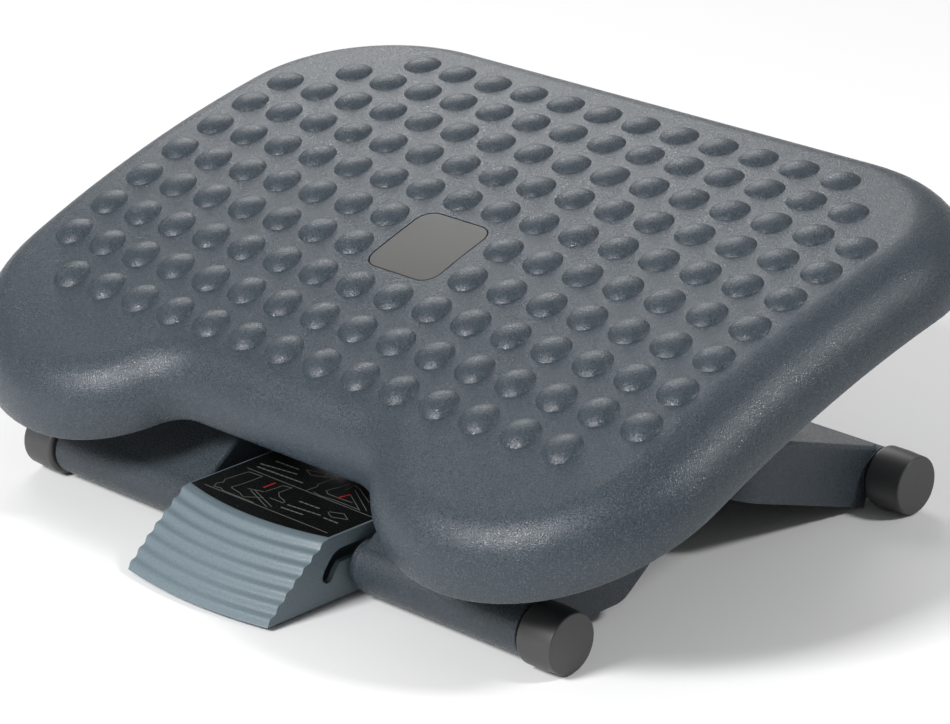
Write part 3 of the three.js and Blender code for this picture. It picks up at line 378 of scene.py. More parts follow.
class Finish:
    """A material of one of the record's slots, built up node by node."""

    def __init__(self, name, slot, colour, roughness, metallic=0.0):
        self.slot = slot
        self.colour = (*colour, 1.0)
        self.material = bpy.data.materials.new(name)
        self.material.use_nodes = True
        self.tree = self.material.node_tree
        self.shader = self.tree.nodes["Principled BSDF"]
        self.set("Base Color", self.colour)
        self.set("Roughness", roughness)
        self.set("Metallic", metallic)
        self.place = self.node("ShaderNodeTexCoord", output="Object")

    def set(self, name, value):
        self._feed(self.shader.inputs[name], value)

    def _feed(self, socket, value):
        if isinstance(value, Socket):
            self.tree.links.new(value.output, socket)
        else:
            socket.default_value = value

    def node(self, kind, settings=None, sockets=None, output=0):
        made = self.tree.nodes.new(kind)
        for key, value in (settings or {}).items():
            if key == "stops":
                ramp = made.color_ramp
                for element, (at, shade) in zip(ramp.elements, value):
                    element.position = at
                    element.color = (shade, shade, shade, 1.0)
            else:
                setattr(made, key, value)
        for key, value in (sockets or {}).items():
            self._feed(made.inputs[key], value)
        return Socket(self, made.outputs[output])

    def noise(self, scale, detail=2.0, roughness=0.5, at=None):
        sockets = {"Vector": at or self.place, "Scale": scale, "Detail": detail, "Roughness": roughness}
        return self.node("ShaderNodeTexNoise", sockets=sockets)

    def stretched(self, scale):
        return self.node("ShaderNodeMapping", sockets={"Vector": self.place, "Scale": scale})

    def ramp(self, value, stops):
        return self.node("ShaderNodeValToRGB", {"stops": stops}, {"Fac": value})

    def tint(self, share, other):
        """The base colour turned towards another one by a share that changes over the surface."""
        sockets = {0: share, 6: self.colour, 7: (*other, 1.0)}
        settings = {"data_type": "RGBA"}
        return self.node("ShaderNodeMix", settings, sockets, output=2)

    def bump(self, height, strength, distance):
        sockets = {"Height": height, "Strength": strength, "Distance": distance}
        return self.node("ShaderNodeBump", sockets=sockets)

    def dressed(self, colour, roughness, normal):
        """Feeds the shader what changes over the surface."""
        self.set("Base Color", colour)
        self.set("Roughness", roughness)
        self.set("Normal", normal)
        return self


def moulded(name, slot, colour, fleck, roughness, grain, depth, fleck_share):
    """Grained plastic: fine peaks with a paler tone, glossier specks that sparkle, faint clouds."""
    finish = Finish(name, slot, colour, roughness)
    fine = finish.noise(grain, 2.0, 0.6)
    speck = finish.noise(grain * 1.2, 1.0, at=finish.stretched((1.0, 1.0, 1.1)))
    cloud = finish.noise(14.0, 3.0)
    peaks = finish.ramp(fine, ((0.52, 0.0), (0.66, 1.0)))
    glints = finish.ramp(speck, ((0.52, 0.0), (0.58, 1.0)))
    return finish.dressed(
        finish.tint(peaks * fleck_share + cloud * 0.12, fleck),
        roughness + 0.1 + cloud * 0.04 - glints * 0.32,
        finish.bump(fine + glints * 0.4, 1.0, depth),
    )


def satin(name, slot, colour, fleck, roughness):
    """Smooth plastic with the faint waviness of a polished mould and small rubs."""
    finish = Finish(name, slot, colour, roughness)
    wave = finish.noise(160.0, 3.0)
    fine = finish.noise(1800.0, 2.0)
    rub = finish.ramp(finish.noise(55.0, 5.0, 0.6), ((0.52, 0.0), (0.75, 1.0)))
    return finish.dressed(
        finish.tint(rub * 0.35 + fine * 0.15, fleck),
        roughness - 0.06 + rub * 0.08 + fine * 0.08,
        finish.bump(wave + fine * 0.4, 0.8, 0.00002),
    )


def plated():
    """Zinc-plated steel: drawn lines along the bars and a dull bloom."""
    finish = Finish("zinc_plated_steel", "zinc_steel", (0.55, 0.56, 0.57), 0.32, 1.0)
    lines = finish.noise(900.0, 2.0, at=finish.stretched((0.06, 1.0, 1.0)))
    bloom = finish.noise(70.0, 4.0, 0.6)
    return finish.dressed(
        finish.tint(bloom * 0.7, (0.36, 0.37, 0.4)),
        0.2 + bloom * 0.22 + lines * 0.08,
        finish.bump(lines, 0.6, 0.00002),
    )


def nylon():
    """Black glass-filled nylon, whose fibres leave pale streaks."""
    finish = Finish("black_nylon", "dark_nylon", (0.02, 0.021, 0.023), 0.5)
    fibres = finish.noise(700.0, 3.0, at=finish.stretched((1.0, 0.12, 0.5)))
    shown = finish.ramp(fibres, ((0.55, 0.0), (0.8, 1.0)))
    colour = finish.tint(shown * 0.5, (0.075, 0.077, 0.08))
    return finish.dressed(colour, 0.42 + fibres * 0.16, finish.bump(fibres, 0.7, 0.00003))


def film(name, colour, roughness):
    """Printed film with a soft ripple where it was rubbed down."""
    finish = Finish(name, "label_film", colour, roughness)
    ripple = finish.noise(90.0, 2.0)
    dust = finish.ramp(finish.noise(2400.0, 2.0), ((0.66, 0.0), (0.8, 1.0)))
    return finish.dressed(
        finish.tint(dust * 0.3, (0.16, 0.16, 0.16)),
        roughness + dust * 0.2 + ripple * 0.05,
        finish.bump(ripple, 0.5, 0.00004),
    )


TRAY_PLASTIC = moulded(
    "tray_moulding", "tray_grey", (0.0185, 0.0295, 0.0405), (0.105, 0.13, 0.153), 0.3, 1300.0, 0.00023, 0.5
)
TRAY_PLASTIC.set("Specular IOR Level", 0.56)
LEG_PLASTIC = moulded(
    "leg_moulding", "leg_grey", (0.026, 0.037, 0.047), (0.085, 0.1, 0.115), 0.38, 1200.0, 0.00026, 0.45
)
PEDAL_PLASTIC = moulded(
    "pedal_moulding", "pedal_grey", (0.135, 0.18, 0.205), (0.2, 0.25, 0.275), 0.4, 1700.0, 0.00009, 0.35
)
FOOT_PLASTIC = satin("foot_moulding", "foot_grey", (0.046, 0.046, 0.048), (0.072, 0.072, 0.074), 0.45)
PLATE_FINISH = satin("centre_plate_finish", "plate_grey", (0.06, 0.059, 0.057), (0.085, 0.084, 0.081), 0.44)
PLATE_FINISH.set("Specular IOR Level", 0.36)
LABEL_FILM = film("label_film_black", (0.006, 0.007, 0.007), 0.24)
LABEL_INK = film("label_ink_pale", (0.16, 0.16, 0.15), 0.4)
LABEL_RED = film("label_ink_red", (0.4, 0.015, 0.02), 0.4)
NYLON = nylon()
STEEL = plated()


# Drawing helpers


def of_kind(items, kind):
    return [item for item in items if isinstance(item, kind)]


def moved(bm, by):
    bmesh.ops.translate(bm, vec=by, verts=bm.verts)
    return bm


def about(middle, width):
    return (middle - width / 2, middle + width / 2)


def pushed(points, push):
    """A closed solid: a flat outline of 3-D points pushed out along a vector."""
    bm = bmesh.new()
    face = bm.faces.new([bm.verts.new(point) for point in points])
    made = bmesh.ops.extrude_face_region(bm, geom=[face])["geom"]
    bmesh.ops.translate(bm, vec=push, verts=of_kind(made, bmesh.types.BMVert))
    bmesh.ops.recalc_face_normals(bm, faces=bm.faces)
    return bm


def slab(outline, low, high):
    """An outline in X and Y pushed up from one level to another."""
    return pushed([(x, y, low) for x, y in outline], (0, 0, high - low))


def profile(outline, span):
    """An outline in Y and Z pushed across, over a span of X."""
    return pushed([(span[0], y, z) for y, z in outline], (span[1] - span[0], 0, 0))


def block(*spans):
    """A box over spans of X, Y and Z."""
    bm = bmesh.new()
    bmesh.ops.create_cube(bm, size=1)
    bmesh.ops.scale(bm, vec=[high - low for low, high in spans], verts=bm.verts)
    return moved(bm, [(high + low) / 2 for low, high in spans])


def lathe(outline, y=0.0, z=0.0, steps=TURN_STEPS, upright=False):
    """A solid turned about X, or about Z if upright. The outline is a list of [along, radius]."""
    bm = bmesh.new()
    places = [(radius, 0, along) if upright else (along, 0, radius) for along, radius in outline]
    corners = [bm.verts.new(place) for place in places]
    edges = [bm.edges.new(pair) for pair in zip(corners, corners[1:])]
    bmesh.ops.spin(
        bm,
        geom=corners + edges,
        cent=(0, 0, 0),
        axis=(0, 0, 1) if upright else (1, 0, 0),
        angle=2 * math.pi,
        steps=steps,
        use_merge=True,
    )
    bmesh.ops.remove_doubles(bm, verts=bm.verts, dist=SAME_PLACE)
    bmesh.ops.recalc_face_normals(bm, faces=bm.faces)
    return moved(bm, (0, y, z))


def round_outline(radius, span, edge):
    low, high = span
    outline = [(low, 0)]
    outline += arc_points((low + edge, radius - edge), edge, 180, 90, EDGE_STEP)
    outline += arc_points((high - edge, radius - edge), edge, 90, 0, EDGE_STEP)
    return [*outline, (high, 0)]


def chamfered(start, radius, edge):
    """The inner end of a turned outline, with its edge broken."""
    return [(start, 0), (start, radius - edge), (start + edge, radius)]


def bar(radius, span, y=0.0, z=0.0, edge=0.0, steps=TURN_STEPS):
    """A round bar along X with softened ends."""
    return lathe(round_outline(radius, span, edge), y, z, steps)


def pin_hole(pin, half, y=0.0, z=0.0):
    return bar(pin + RUNNING_GAP, (-half, half), y, z, steps=PIN_STEPS)


def screw_hole(shank, x, y, span):
    """The drawing of an upright round hole in which a shank runs free."""
    bm = lathe(round_outline(shank + RUNNING_GAP, span, 0), steps=HOLE_STEPS, upright=True)
    return moved(bm, (x, y, 0))


def arc_points(centre, radius, start, end, step=ARC_STEP):
    """Points on an arc, in degrees. An arc of no radius is one point."""
    if radius <= 0:
        return [tuple(centre)]
    count = max(2, math.ceil(abs(end - start) / step))
    points = []
    for i in range(count + 1):
        angle = math.radians(start + (end - start) * i / count)
        points.append((centre[0] + radius * math.cos(angle), centre[1] + radius * math.sin(angle)))
    return points


def side_span(side, near, far):
    return (near, far) if side > 0 else (-far, -near)


def sided(outline, side):
    return [(side * along, radius) for along, radius in outline]


def mirrored(outline):
    """A right half outline, from front middle to rear middle, with its left half added."""
    left = [(-x, y) for x, y in reversed(outline) if abs(x) > SAME_PLACE]
    return outline + left


def softened(bm, level, offset, segments):
    """Rounds the edges of a drawing that lie at one level."""

    def at_level(vert):
        return abs(vert.co.z - level) < SAME_PLACE

    bmesh.ops.bevel(
        bm,
        geom=[edge for edge in bm.edges if all(map(at_level, edge.verts))],
        offset=offset,
        offset_type="OFFSET",
        affect="EDGES",
        segments=segments,
        profile=0.5,
        material=-1,
    )
    return bm


def in_scene(name, data):
    made = bpy.data.objects.new(name, data)
    bpy.context.scene.collection.objects.link(made)
    return made


def mesh_object(bm, name):
    mesh = bpy.data.meshes.new(name)
    bm.to_mesh(mesh)
    bm.free()
    return in_scene(name, mesh)


def combined(base, tools, operation="UNION"):
    """Joins closed drawings to a closed one, or cuts them from it, and gives a new drawing."""
    host = mesh_object(base, "drawing")
    helpers = [mesh_object(tool, "drawing") for tool in tools]
    for helper in helpers:
        change = host.modifiers.new("change", "BOOLEAN")
        change.object = helper
        change.operation = operation
        change.solver = "MANIFOLD"
    graph = bpy.context.evaluated_depsgraph_get()
    result = bmesh.new()
    result.from_object(host, graph)
    for item in [host, *helpers]:
        mesh = item.data
        bpy.data.objects.remove(item)
        bpy.data.meshes.remove(mesh)
    return result


def joined(parts):
    return combined(parts[0], parts[1:])


def cut(bm, tools):
    return combined(bm, tools, "DIFFERENCE")


def piece(bm, name, finish, body, stands_for, crease=CREASE, even=True):
    """Makes a drawing, carried to its body's place, a piece of the footrest in metres."""
    place, degrees = BODY_PLACES[body]
    turn = Matrix.Rotation(math.radians(degrees), 4, "X")
    bmesh.ops.transform(bm, matrix=Matrix.Translation((0, *place)) @ turn, verts=bm.verts)
    bmesh.ops.scale(bm, vec=(MM, MM, MM), verts=bm.verts)
    limit = math.radians(crease)
    for face in bm.faces:
        face.smooth = True
    for edge in bm.edges:
        edge.smooth = edge.is_manifold and edge.calc_face_angle(0) < limit
    made = mesh_object(bm, name)
    made.data.materials.append(finish.material)
    if even:
        shading = made.modifiers.new("even_shading", "WEIGHTED_NORMAL")
        shading.keep_sharp = True
    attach(made, body)
    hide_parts(*stands_for)
    return made


# Tray


def tray_outline(inset):
    """The outline from above as [x, arc], drawn in by an inset, always with as many points."""
    horn_x = TRAY_HALF - TRAY_CORNER
    horn_arc = TRAY_CORNER - TRAY_HORN
    nose_arc = NOSE_RADIUS - TRAY_HORN
    notch_arc = -TRAY_NOTCH - NOTCH_RADIUS
    reach = NOSE_RADIUS + NOTCH_RADIUS
    notch_x = horn_x - math.sqrt(reach**2 - (nose_arc - notch_arc) ** 2)
    turn = math.degrees(math.atan2(nose_arc - notch_arc, horn_x - notch_x))
    rear_arc = TRAY_REAR - TRAY_CORNER
    corner = TRAY_CORNER - inset
    side = TRAY_HALF - inset
    front = inset - TRAY_NOTCH
    rear = TRAY_REAR - inset
    half = [(notch_x * i / NOTCH_STEPS, front) for i in range(NOTCH_STEPS)]
    half += arc_points((notch_x, notch_arc), NOTCH_RADIUS + inset, 90, turn)
    half += arc_points((horn_x, nose_arc), NOSE_RADIUS - inset, 180 + turn, 270)[1:]
    half += arc_points((horn_x, horn_arc), corner, -90, 0, CORNER_STEP)[1:]
    straight = (rear_arc - horn_arc) / SIDE_STEPS
    half += [(side, horn_arc + straight * i) for i in range(1, SIDE_STEPS)]
    half += arc_points((horn_x, rear_arc), corner, 0, 90, CORNER_STEP)
    half += [(horn_x * (1 - i / REAR_STEPS), rear) for i in range(1, REAR_STEPS + 1)]
    return mirrored(half)


def bump_places():
    """Middles of the bumps as [x, arc]."""
    places = []
    for row in range(BUMP_ROWS):
        for column in range(BUMP_COLUMNS):
            from_side = min(column, BUMP_COLUMNS - 1 - column)
            rear_gap = 2 if row == 0 else 1
            on_edge = row <= 1 or row == BUMP_ROWS - 1
            by_plate = row in (BUMP_ROWS // 2, BUMP_ROWS // 2 + 1) and from_side == BUMP_COLUMNS // 2 - 1
            if not (on_edge and from_side < rear_gap) and not by_plate:
                x = (column - (BUMP_COLUMNS - 1) / 2) * BUMP_PITCH
                places.append((x, ((BUMP_ROWS - 1) / 2 - row) * ROW_PITCH))
    return places


def closed_ring(bm, points):
    corners = [bm.verts.new(point) for point in points]
    return [bm.edges.new(pair) for pair in zip(corners, corners[1:] + corners[:1])]


def ring_of(bm, outline, depth):
    return closed_ring(bm, [(x, arc, -depth) for x, arc in outline])


def sliced(bm, place, normal, snap):
    geom = bm.verts[:] + bm.edges[:] + bm.faces[:]
    bmesh.ops.bisect_plane(bm, geom=geom, dist=snap, plane_co=place, plane_no=normal)


def rowed(bm):
    """Cuts a flat drawing along lines across the tray, so that it can follow the arch."""
    reach = math.ceil(TRAY_HORN / ROW_SPACING)
    for i in range(-reach, reach + 1):
        sliced(bm, (0, i * ROW_SPACING, 0), (0, 1, 0), ROW_SNAP)


def arched(bm):
    """Bends a flat drawing, whose Z is the height over the crown, round the tray's arch."""
    for vert in bm.verts:
        y, z = arch_place(vert.co.y, -vert.co.z)
        vert.co = (vert.co.x, y, z)
    return bm


def filled(bm, edges):
    bmesh.ops.triangle_fill(bm, edges=edges, use_beauty=True, use_dissolve=False)


def rim_depth(inset):
    reach = min(1, max(0, (RIM_ROLL - inset) / RIM_ROLL))
    return RIM_DEPTH * (1 - math.sqrt(1 - reach**2))


def crown_ring(bm, share, wall):
    """A ring between the crown's edge and the start of the rim, closer to the bumps in the notch."""
    near, far = CROWN_INSETS
    outlines = zip(tray_outline(RIM_START), tray_outline(near), tray_outline(far))
    points = []
    for start, tight, wide in outlines:
        spread = (abs(start[0]) - NOTCH_SPREAD[0]) / (NOTCH_SPREAD[1] - NOTCH_SPREAD[0])
        spread = min(1, max(0, spread)) if start[1] < 0 else 1
        spread = spread * spread * (3 - 2 * spread)
        inset = near + (far - near) * spread
        flat = Vector(tight).lerp(Vector(wide), spread)
        place = Vector(start).lerp(flat, share)
        depth = rim_depth(RIM_START + (inset - RIM_START) * share)
        points.append((place.x, place.y, -wall - depth))
    return closed_ring(bm, points)


def rim_steps(wall, steps):
    """Insets and depths of the rolled rim, from the crown outwards and down."""
    roll = RIM_ROLL - wall
    depth = RIM_DEPTH - wall
    first = math.asin((RIM_ROLL - RIM_START) / roll)
    for step in range(1, steps + 1):
        angle = first + (math.pi / 2 - first) * step / steps
        yield wall + roll * (1 - math.sin(angle)), wall + depth * (1 - math.cos(angle))


def crowned_form(wall, steps, low, lip=0.0, holes=()):
    """The closed form under the crowned top, drawn in by a wall and reaching down to a depth."""
    bm = bmesh.new()
    rings = [crown_ring(bm, 1, wall)]
    for x, arc in holes:
        spot = Matrix.Translation((x, arc, -wall))
        bmesh.ops.create_circle(bm, segments=BUMP_SIDES, radius=BUMP_FOOT, matrix=spot)
    filled(bm, list(bm.edges))
    rings += [crown_ring(bm, share, wall) for share in CROWN_SHARES]
    for inset, depth in rim_steps(wall, steps):
        rings.append(ring_of(bm, tray_outline(inset), min(depth, low - lip)))
    if lip:
        rings.append(ring_of(bm, tray_outline(lip * LIP_TURN), low - lip * LIP_TURN))
        rings.append(ring_of(bm, tray_outline(lip), low))
    elif low > RIM_DEPTH:
        rings.append(ring_of(bm, tray_outline(wall), low))
    for inner, outer in zip(rings, rings[1:]):
        bmesh.ops.bridge_loops(bm, edges=inner + outer)
    filled(bm, rings[-1])
    rowed(bm)
    bmesh.ops.recalc_face_normals(bm, faces=bm.faces)
    return bm


def raised_bumps(bm, places):
    """Draws the bumps up out of the round holes in the crown."""
    spots = {(round(x * 2), round(arc * 2)): (x, arc) for x, arc in places}

    def middle(vert):
        x = (round(vert.co.x / BUMP_PITCH - 0.5) + 0.5) * BUMP_PITCH
        arc = (round(vert.co.y / ROW_PITCH - 0.5) + 0.5) * ROW_PITCH
        return spots.get((round(x * 2), round(arc * 2)))

    edges = [edge for edge in bm.edges if edge.is_boundary]
    for radius, height in BUMP_RINGS:
        made = bmesh.ops.extrude_edge_only(bm, edges=edges)["geom"]
        edges = of_kind(made, bmesh.types.BMEdge)
        for vert in of_kind(made, bmesh.types.BMVert):
            spot = Vector(middle(vert))
            flat = spot + (vert.co.xy - spot).normalized() * radius
            vert.co = (flat.x, flat.y, height)
    bmesh.ops.holes_fill(bm, edges=edges, sides=BUMP_SIDES * 3)
    bmesh.ops.recalc_face_normals(bm, faces=bm.faces)
    return bm


def plate_outline(gap):
    half_x = PLATE_HALF_WIDTH - gap
    half_y = PLATE_HALF_LENGTH - gap
    corner = PLATE_CORNER - gap
    points = []
    for sx, sy, start in ((1, 1, 0), (-1, 1, 90), (-1, -1, 180), (1, -1, 270)):
        centre = (sx * (half_x - corner), -ROW_PITCH + sy * (half_y - corner))
        points += arc_points(centre, corner, start, start + 90, PLATE_STEP)
    return points


def arch_slab(outline, top, bottom, edge=0.0):
    bm = slab(outline, -bottom, -top)
    if edge:
        softened(bm, -top, edge, PLATE_EDGE_STEPS)
    rowed(bm)
    return arched(bm)


def arch_box(*spans):
    bm = block(*spans)
    rowed(bm)
    return arched(bm)


def seat_span(seat, side):
    return side_span(side, seat["inner"], seat["inner"] + BRACKET_WALL + FLANGE_WIDTH)


def seat_screws(seat):
    x = seat["inner"] + BRACKET_WALL + FLANGE_WIDTH / 2
    front, rear = seat["y"]
    return (("front", x, front + SCREW_INSET), ("rear", x, rear - SCREW_INSET))


def head_top(seat):
    return -seat["pad"] - 2 * RUNNING_GAP - FLANGE


def tray_underside():
    """Ribs, pads and the boss of the centre plate, trimmed to the inside of the tray."""
    parts = []
    depth = (-RIB_DEPTH, -TRAY_SKIN / 2)
    x = RIB_SPACING / 2
    while x < TRAY_HALF - RIM_ROLL:
        parts += [arch_box(about(place, RIB_WALL), (-TRAY_HORN, TRAY_REAR), depth) for place in (-x, x)]
        x += RIB_SPACING
    arc = -RIB_SPACING * 2
    while arc < TRAY_REAR - RIM_ROLL:
        parts.append(arch_box((-TRAY_HALF, TRAY_HALF), about(arc, RIB_WALL), depth))
        arc += RIB_SPACING
    for side, seat in SEAT_SIDES:
        parts.append(block(seat_span(seat, side), seat["y"], (-seat["pad"], 0)))
    parts.append(arch_slab(plate_outline(-TRAY_SKIN), TRAY_SKIN / 2, TRAY_SKIN + PLATE_THICKNESS))
    core = arched(crowned_form(TRAY_SKIN / 2, CORE_STEPS, RIM_DEPTH))
    return combined(joined(parts), [core], "INTERSECT")


def foot_tray():
    places = bump_places()
    outer = arched(raised_bumps(crowned_form(0, RIM_STEPS, RIM_DEPTH, RIM_LIP, places), places))
    hollow = arched(crowned_form(TRAY_SKIN, HOLLOW_STEPS, RIM_DEPTH + OVERRUN))
    shell = joined([cut(outer, [hollow]), tray_underside()])
    cuts = [arch_slab(plate_outline(0), -OVERRUN, PLATE_THICKNESS + RUNNING_GAP)]
    for side, seat in SEAT_SIDES:
        span = (head_top(seat) - OVERRUN, head_top(seat) + SCREW_LENGTH + RUNNING_GAP)
        cuts += [screw_hole(SCREW_SHANK, side * x, y, span) for _, x, y in seat_screws(seat)]
    return piece(cut(shell, cuts), "foot_tray", TRAY_PLASTIC, "tray", ["tray_shell"], TRAY_CREASE, False)


def centre_plate():
    bm = arch_slab(plate_outline(PLATE_GROOVE), 0, PLATE_THICKNESS, PLATE_EDGE)
    return piece(bm, "inset_plate", PLATE_FINISH, "tray", ["centre_plate"])


# Screws, rods and clips


def screw_form(x, y, low):
    """A pan head screw that points up, with a cross recess in its head and a shallow thread."""
    thick = SCREW_HEAD_THICKNESS
    neck = low + thick
    tip = neck + SCREW_LENGTH
    outline = [(low + thick * rise, SCREW_HEAD * share) for rise, share in SCREW_HEAD_FORM]
    outline.append((neck, SCREW_SHANK))
    pitch = (SCREW_LENGTH - SCREW_TIP) / THREAD_TURNS
    for i in range(THREAD_TURNS):
        outline += [(neck + pitch * (i + along), SCREW_SHANK * share) for along, share in THREAD_FORM]
    outline += [(tip, SCREW_SHANK * SCREW_TIP_SHARE), (tip, 0)]
    bm = lathe(outline, steps=PIN_STEPS, upright=True)
    arm = about(0, 2 * SCREW_HEAD * RECESS_ARM)
    width = about(0, 2 * SCREW_HEAD * RECESS_HALF)
    sunk = (low - OVERRUN, low + thick * RECESS_DEPTH)
    return moved(cut(bm, [block(arm, width, sunk), block(width, arm, sunk)]), (x, y, 0))


def seat_screw_pieces(seat, node):
    for side, word in SIDES:
        for end, x, y in seat_screws(seat):
            bm = screw_form(side * x, y, head_top(seat) - SCREW_HEAD_THICKNESS)
            steel_piece(bm, f"{node}_{word}_screw_{end}", "turned", "tray")


def clip_form(pin, near, side, y, z):
    """A push-on clip: a dished ring with teeth that grip the pin."""
    outline = [(near + along, pin + RUNNING_GAP + out) for along, out in CLIP_FORM]
    through = side_span(side, near - OVERRUN, near + CLIP_THICKNESS + OVERRUN)
    teeth = []
    for i in range(CLIP_TEETH):
        notch = block(through, about(0, CLIP_NOTCH), (0, pin + CLIP_RIM / 2))
        turn = Matrix.Rotation(math.radians(45 + 360 * i / CLIP_TEETH), 3, "X")
        bmesh.ops.rotate(notch, matrix=turn, verts=notch.verts)
        teeth.append(notch)
    return moved(cut(lathe(sided(outline, side), steps=PIN_STEPS), teeth), (0, y, z))


def scissor_pin(near, side):
    """A headed pin, from its clip's side to the outside of the front leg's boss."""
    outer = OPENING_HALF + LEG_SKIN + BOSS_LENGTH + RUNNING_GAP
    face = outer + SCISSOR_HEAD_THICKNESS
    outline = chamfered(near - PIN_TAIL, SCISSOR_PIN, PIN_EDGE)
    along, into = SCISSOR_HEAD_SEAT
    outline += [(outer, SCISSOR_PIN), (outer, SCISSOR_HEAD - into), (outer + along, SCISSOR_HEAD)]
    outline += [(face - back, SCISSOR_HEAD - into) for back, into in SCISSOR_HEAD_FORM]
    return lathe(sided([*outline, (face, 0)], side), CROSSING_REACH, 0, PIN_STEPS)


def steel_piece(bm, node, how, body):
    return piece(bm, f"{node}_{how}", STEEL, body, [node])


def steel_pieces():
    """The rods, their clips and the scissor pins."""
    hinge_near = HINGE_SEAT["inner"] + BRACKET_WALL + RUNNING_GAP
    slide_near = RAIL_SEAT["inner"] + BRACKET_WALL + RUNNING_GAP
    scissor_near = TONGUE_HALF - LEG_SKIN - RUNNING_GAP - CLIP_THICKNESS
    tail = CLIP_THICKNESS + PIN_TAIL
    latch_half = CHEEK_INNER + CHEEK_WALL + LATCH_TAIL
    rods = (
        ("hinge_rod", HINGE_ROD, hinge_near + tail, hinge_in_tray, PIN_EDGE, "tray"),
        ("slide_pin", SLIDE_PIN, slide_near + tail, (SLIDE_Y, 0), PIN_EDGE, "rear_leg"),
        ("latch_rod", LATCH_ROD, latch_half, latch_rod_in_leg, LATCH_ROD_EDGE, "rear_leg"),
    )
    for node, radius, half, place, edge, body in rods:
        steel_piece(bar(radius, (-half, half), *place, edge, PIN_STEPS), node, "turned", body)
    clips = (
        ("hinge_clip", HINGE_ROD, hinge_near, hinge_in_tray, "tray"),
        ("slide_clip", SLIDE_PIN, slide_near, (SLIDE_Y, 0), "rear_leg"),
        ("scissor_clip", SCISSOR_PIN, scissor_near, (CROSSING_REACH, 0), "front_leg"),
    )
    for side, word in SIDES:
        for node, pin, near, place, body in clips:
            steel_piece(clip_form(pin, near, side, *place), f"{node}_{word}", "pressed", body)
        steel_piece(scissor_pin(scissor_near, side), f"scissor_pin_{word}", "turned", "front_leg")


# Feet


def end_foot(node, side, body):
    near = TUBE_END + FOOT_GAP
    far = near + FOOT_LENGTH
    outline = chamfered(near - SPIGOT_LENGTH, SPIGOT_RADIUS, SPIGOT_EDGE)
    outline.append((near, SPIGOT_RADIUS))
    rounding = (near + FOOT_ROUNDING, FOOT_RADIUS - FOOT_ROUNDING)
    outline += arc_points(rounding, FOOT_ROUNDING, 180, 90, FOOT_STEP)
    outline.append((near + FOOT_BELT, FOOT_RADIUS))
    edge = (far - FOOT_EDGE, FOOT_RADIUS - FOOT_DRAFT - FOOT_EDGE)
    outline += arc_points(edge, FOOT_EDGE, FOOT_EDGE_START, 0, ROUND_STEP)
    outline += [(far - dip, radius) for dip, radius in FOOT_FACE]
    bm = lathe(sided(outline, side), steps=FOOT_TURN_STEPS)
    return piece(bm, f"{node}_cap", FOOT_PLASTIC, body, [node], FOOT_CREASE)


# Front leg, drawn with Y up along the leg and Z square to it


def front_outline(inset, front):
    outer = LEG_HALF - inset
    beam_rear = HINGE_REACH - BEAM_LENGTH
    barrel = BARREL_HALF - inset
    opening = OPENING_HALF + inset
    half = [(opening, CROSSING_REACH + BEAM_GAP + inset), (opening, front), (outer, front)]
    half += arc_points((LEG_HALF - BEAM_CORNER, beam_rear - BEAM_CORNER), BEAM_CORNER - inset, 0, 90)
    half += [(barrel, beam_rear - inset), (barrel, HINGE_REACH + BARREL_LAP - inset)]
    return mirrored(half)


def in_leg(place):
    return turned(less(place, FRONT_AXIS), -FRONT_ANGLE)


def rounded(corners):
    """An outline from [y, z, radius] corners, each turned into an arc of its radius."""
    points = []
    count = len(corners)
    for i, (y, z, radius) in enumerate(corners):
        here = Vector((y, z))
        before = Vector(corners[i - 1][:2]) - here
        after = Vector(corners[(i + 1) % count][:2]) - here
        if not radius:
            points.append((y, z))
            continue
        half = before.angle(after) / 2
        shorter = min(before.length, after.length)
        reach = min(radius / math.tan(half), shorter * BEND_SHARE)
        actual = reach * math.tan(half)
        start = here + before.normalized() * reach
        middle = here + (before.normalized() + after.normalized()).normalized() * (actual / math.sin(half))
        end = here + after.normalized() * reach
        first = start - middle
        turn = first.angle_signed(end - middle)
        steps = max(2, math.ceil(abs(math.degrees(turn)) / ARC_STEP))
        for step in range(steps + 1):
            spun = Matrix.Rotation(-turn * step / steps, 2) @ first
            points.append(tuple(middle + spun))
    return points


def front_wall():
    """The deep side wall: level above the floor at the front, then along the leg."""
    slope = math.tan(math.radians(FRONT_ANGLE))
    drop = FRONT_WALL_DEPTH / math.cos(math.radians(FRONT_ANGLE))
    knee_y = FRONT_AXIS[0] + (FLOOR_GAP - FRONT_AXIS[1] + drop) / slope
    tube_rear = FRONT_AXIS[0] + TUBE_RADIUS / 2
    tip = HINGE_REACH - BEAM_LENGTH - BEAM_CORNER
    top = TUBE_RADIUS - LEG_EDGE - WALL_LAP
    wide, tight = WALL_BENDS
    corners = [(0, top, 0), (*in_leg((tube_rear, FLOOR_GAP)), 0), (*in_leg((knee_y, FLOOR_GAP)), wide)]
    corners += [(tip - WALL_TAPER, -FRONT_WALL_DEPTH, wide), (tip, -WALL_TIP, tight), (tip, top, 0)]
    return rounded(corners)


def leg_shell(outline, open_end, depth):
    """The panel of a leg with its rounded edge, and the drawing of its hollow."""
    shell = softened(slab(outline(0, 0), -depth, TUBE_RADIUS), TUBE_RADIUS, LEG_EDGE, LEG_EDGE_STEPS)
    hollow = slab(outline(LEG_SKIN, open_end), -depth - OVERRUN, TUBE_RADIUS - LEG_SKIN)
    return shell, hollow


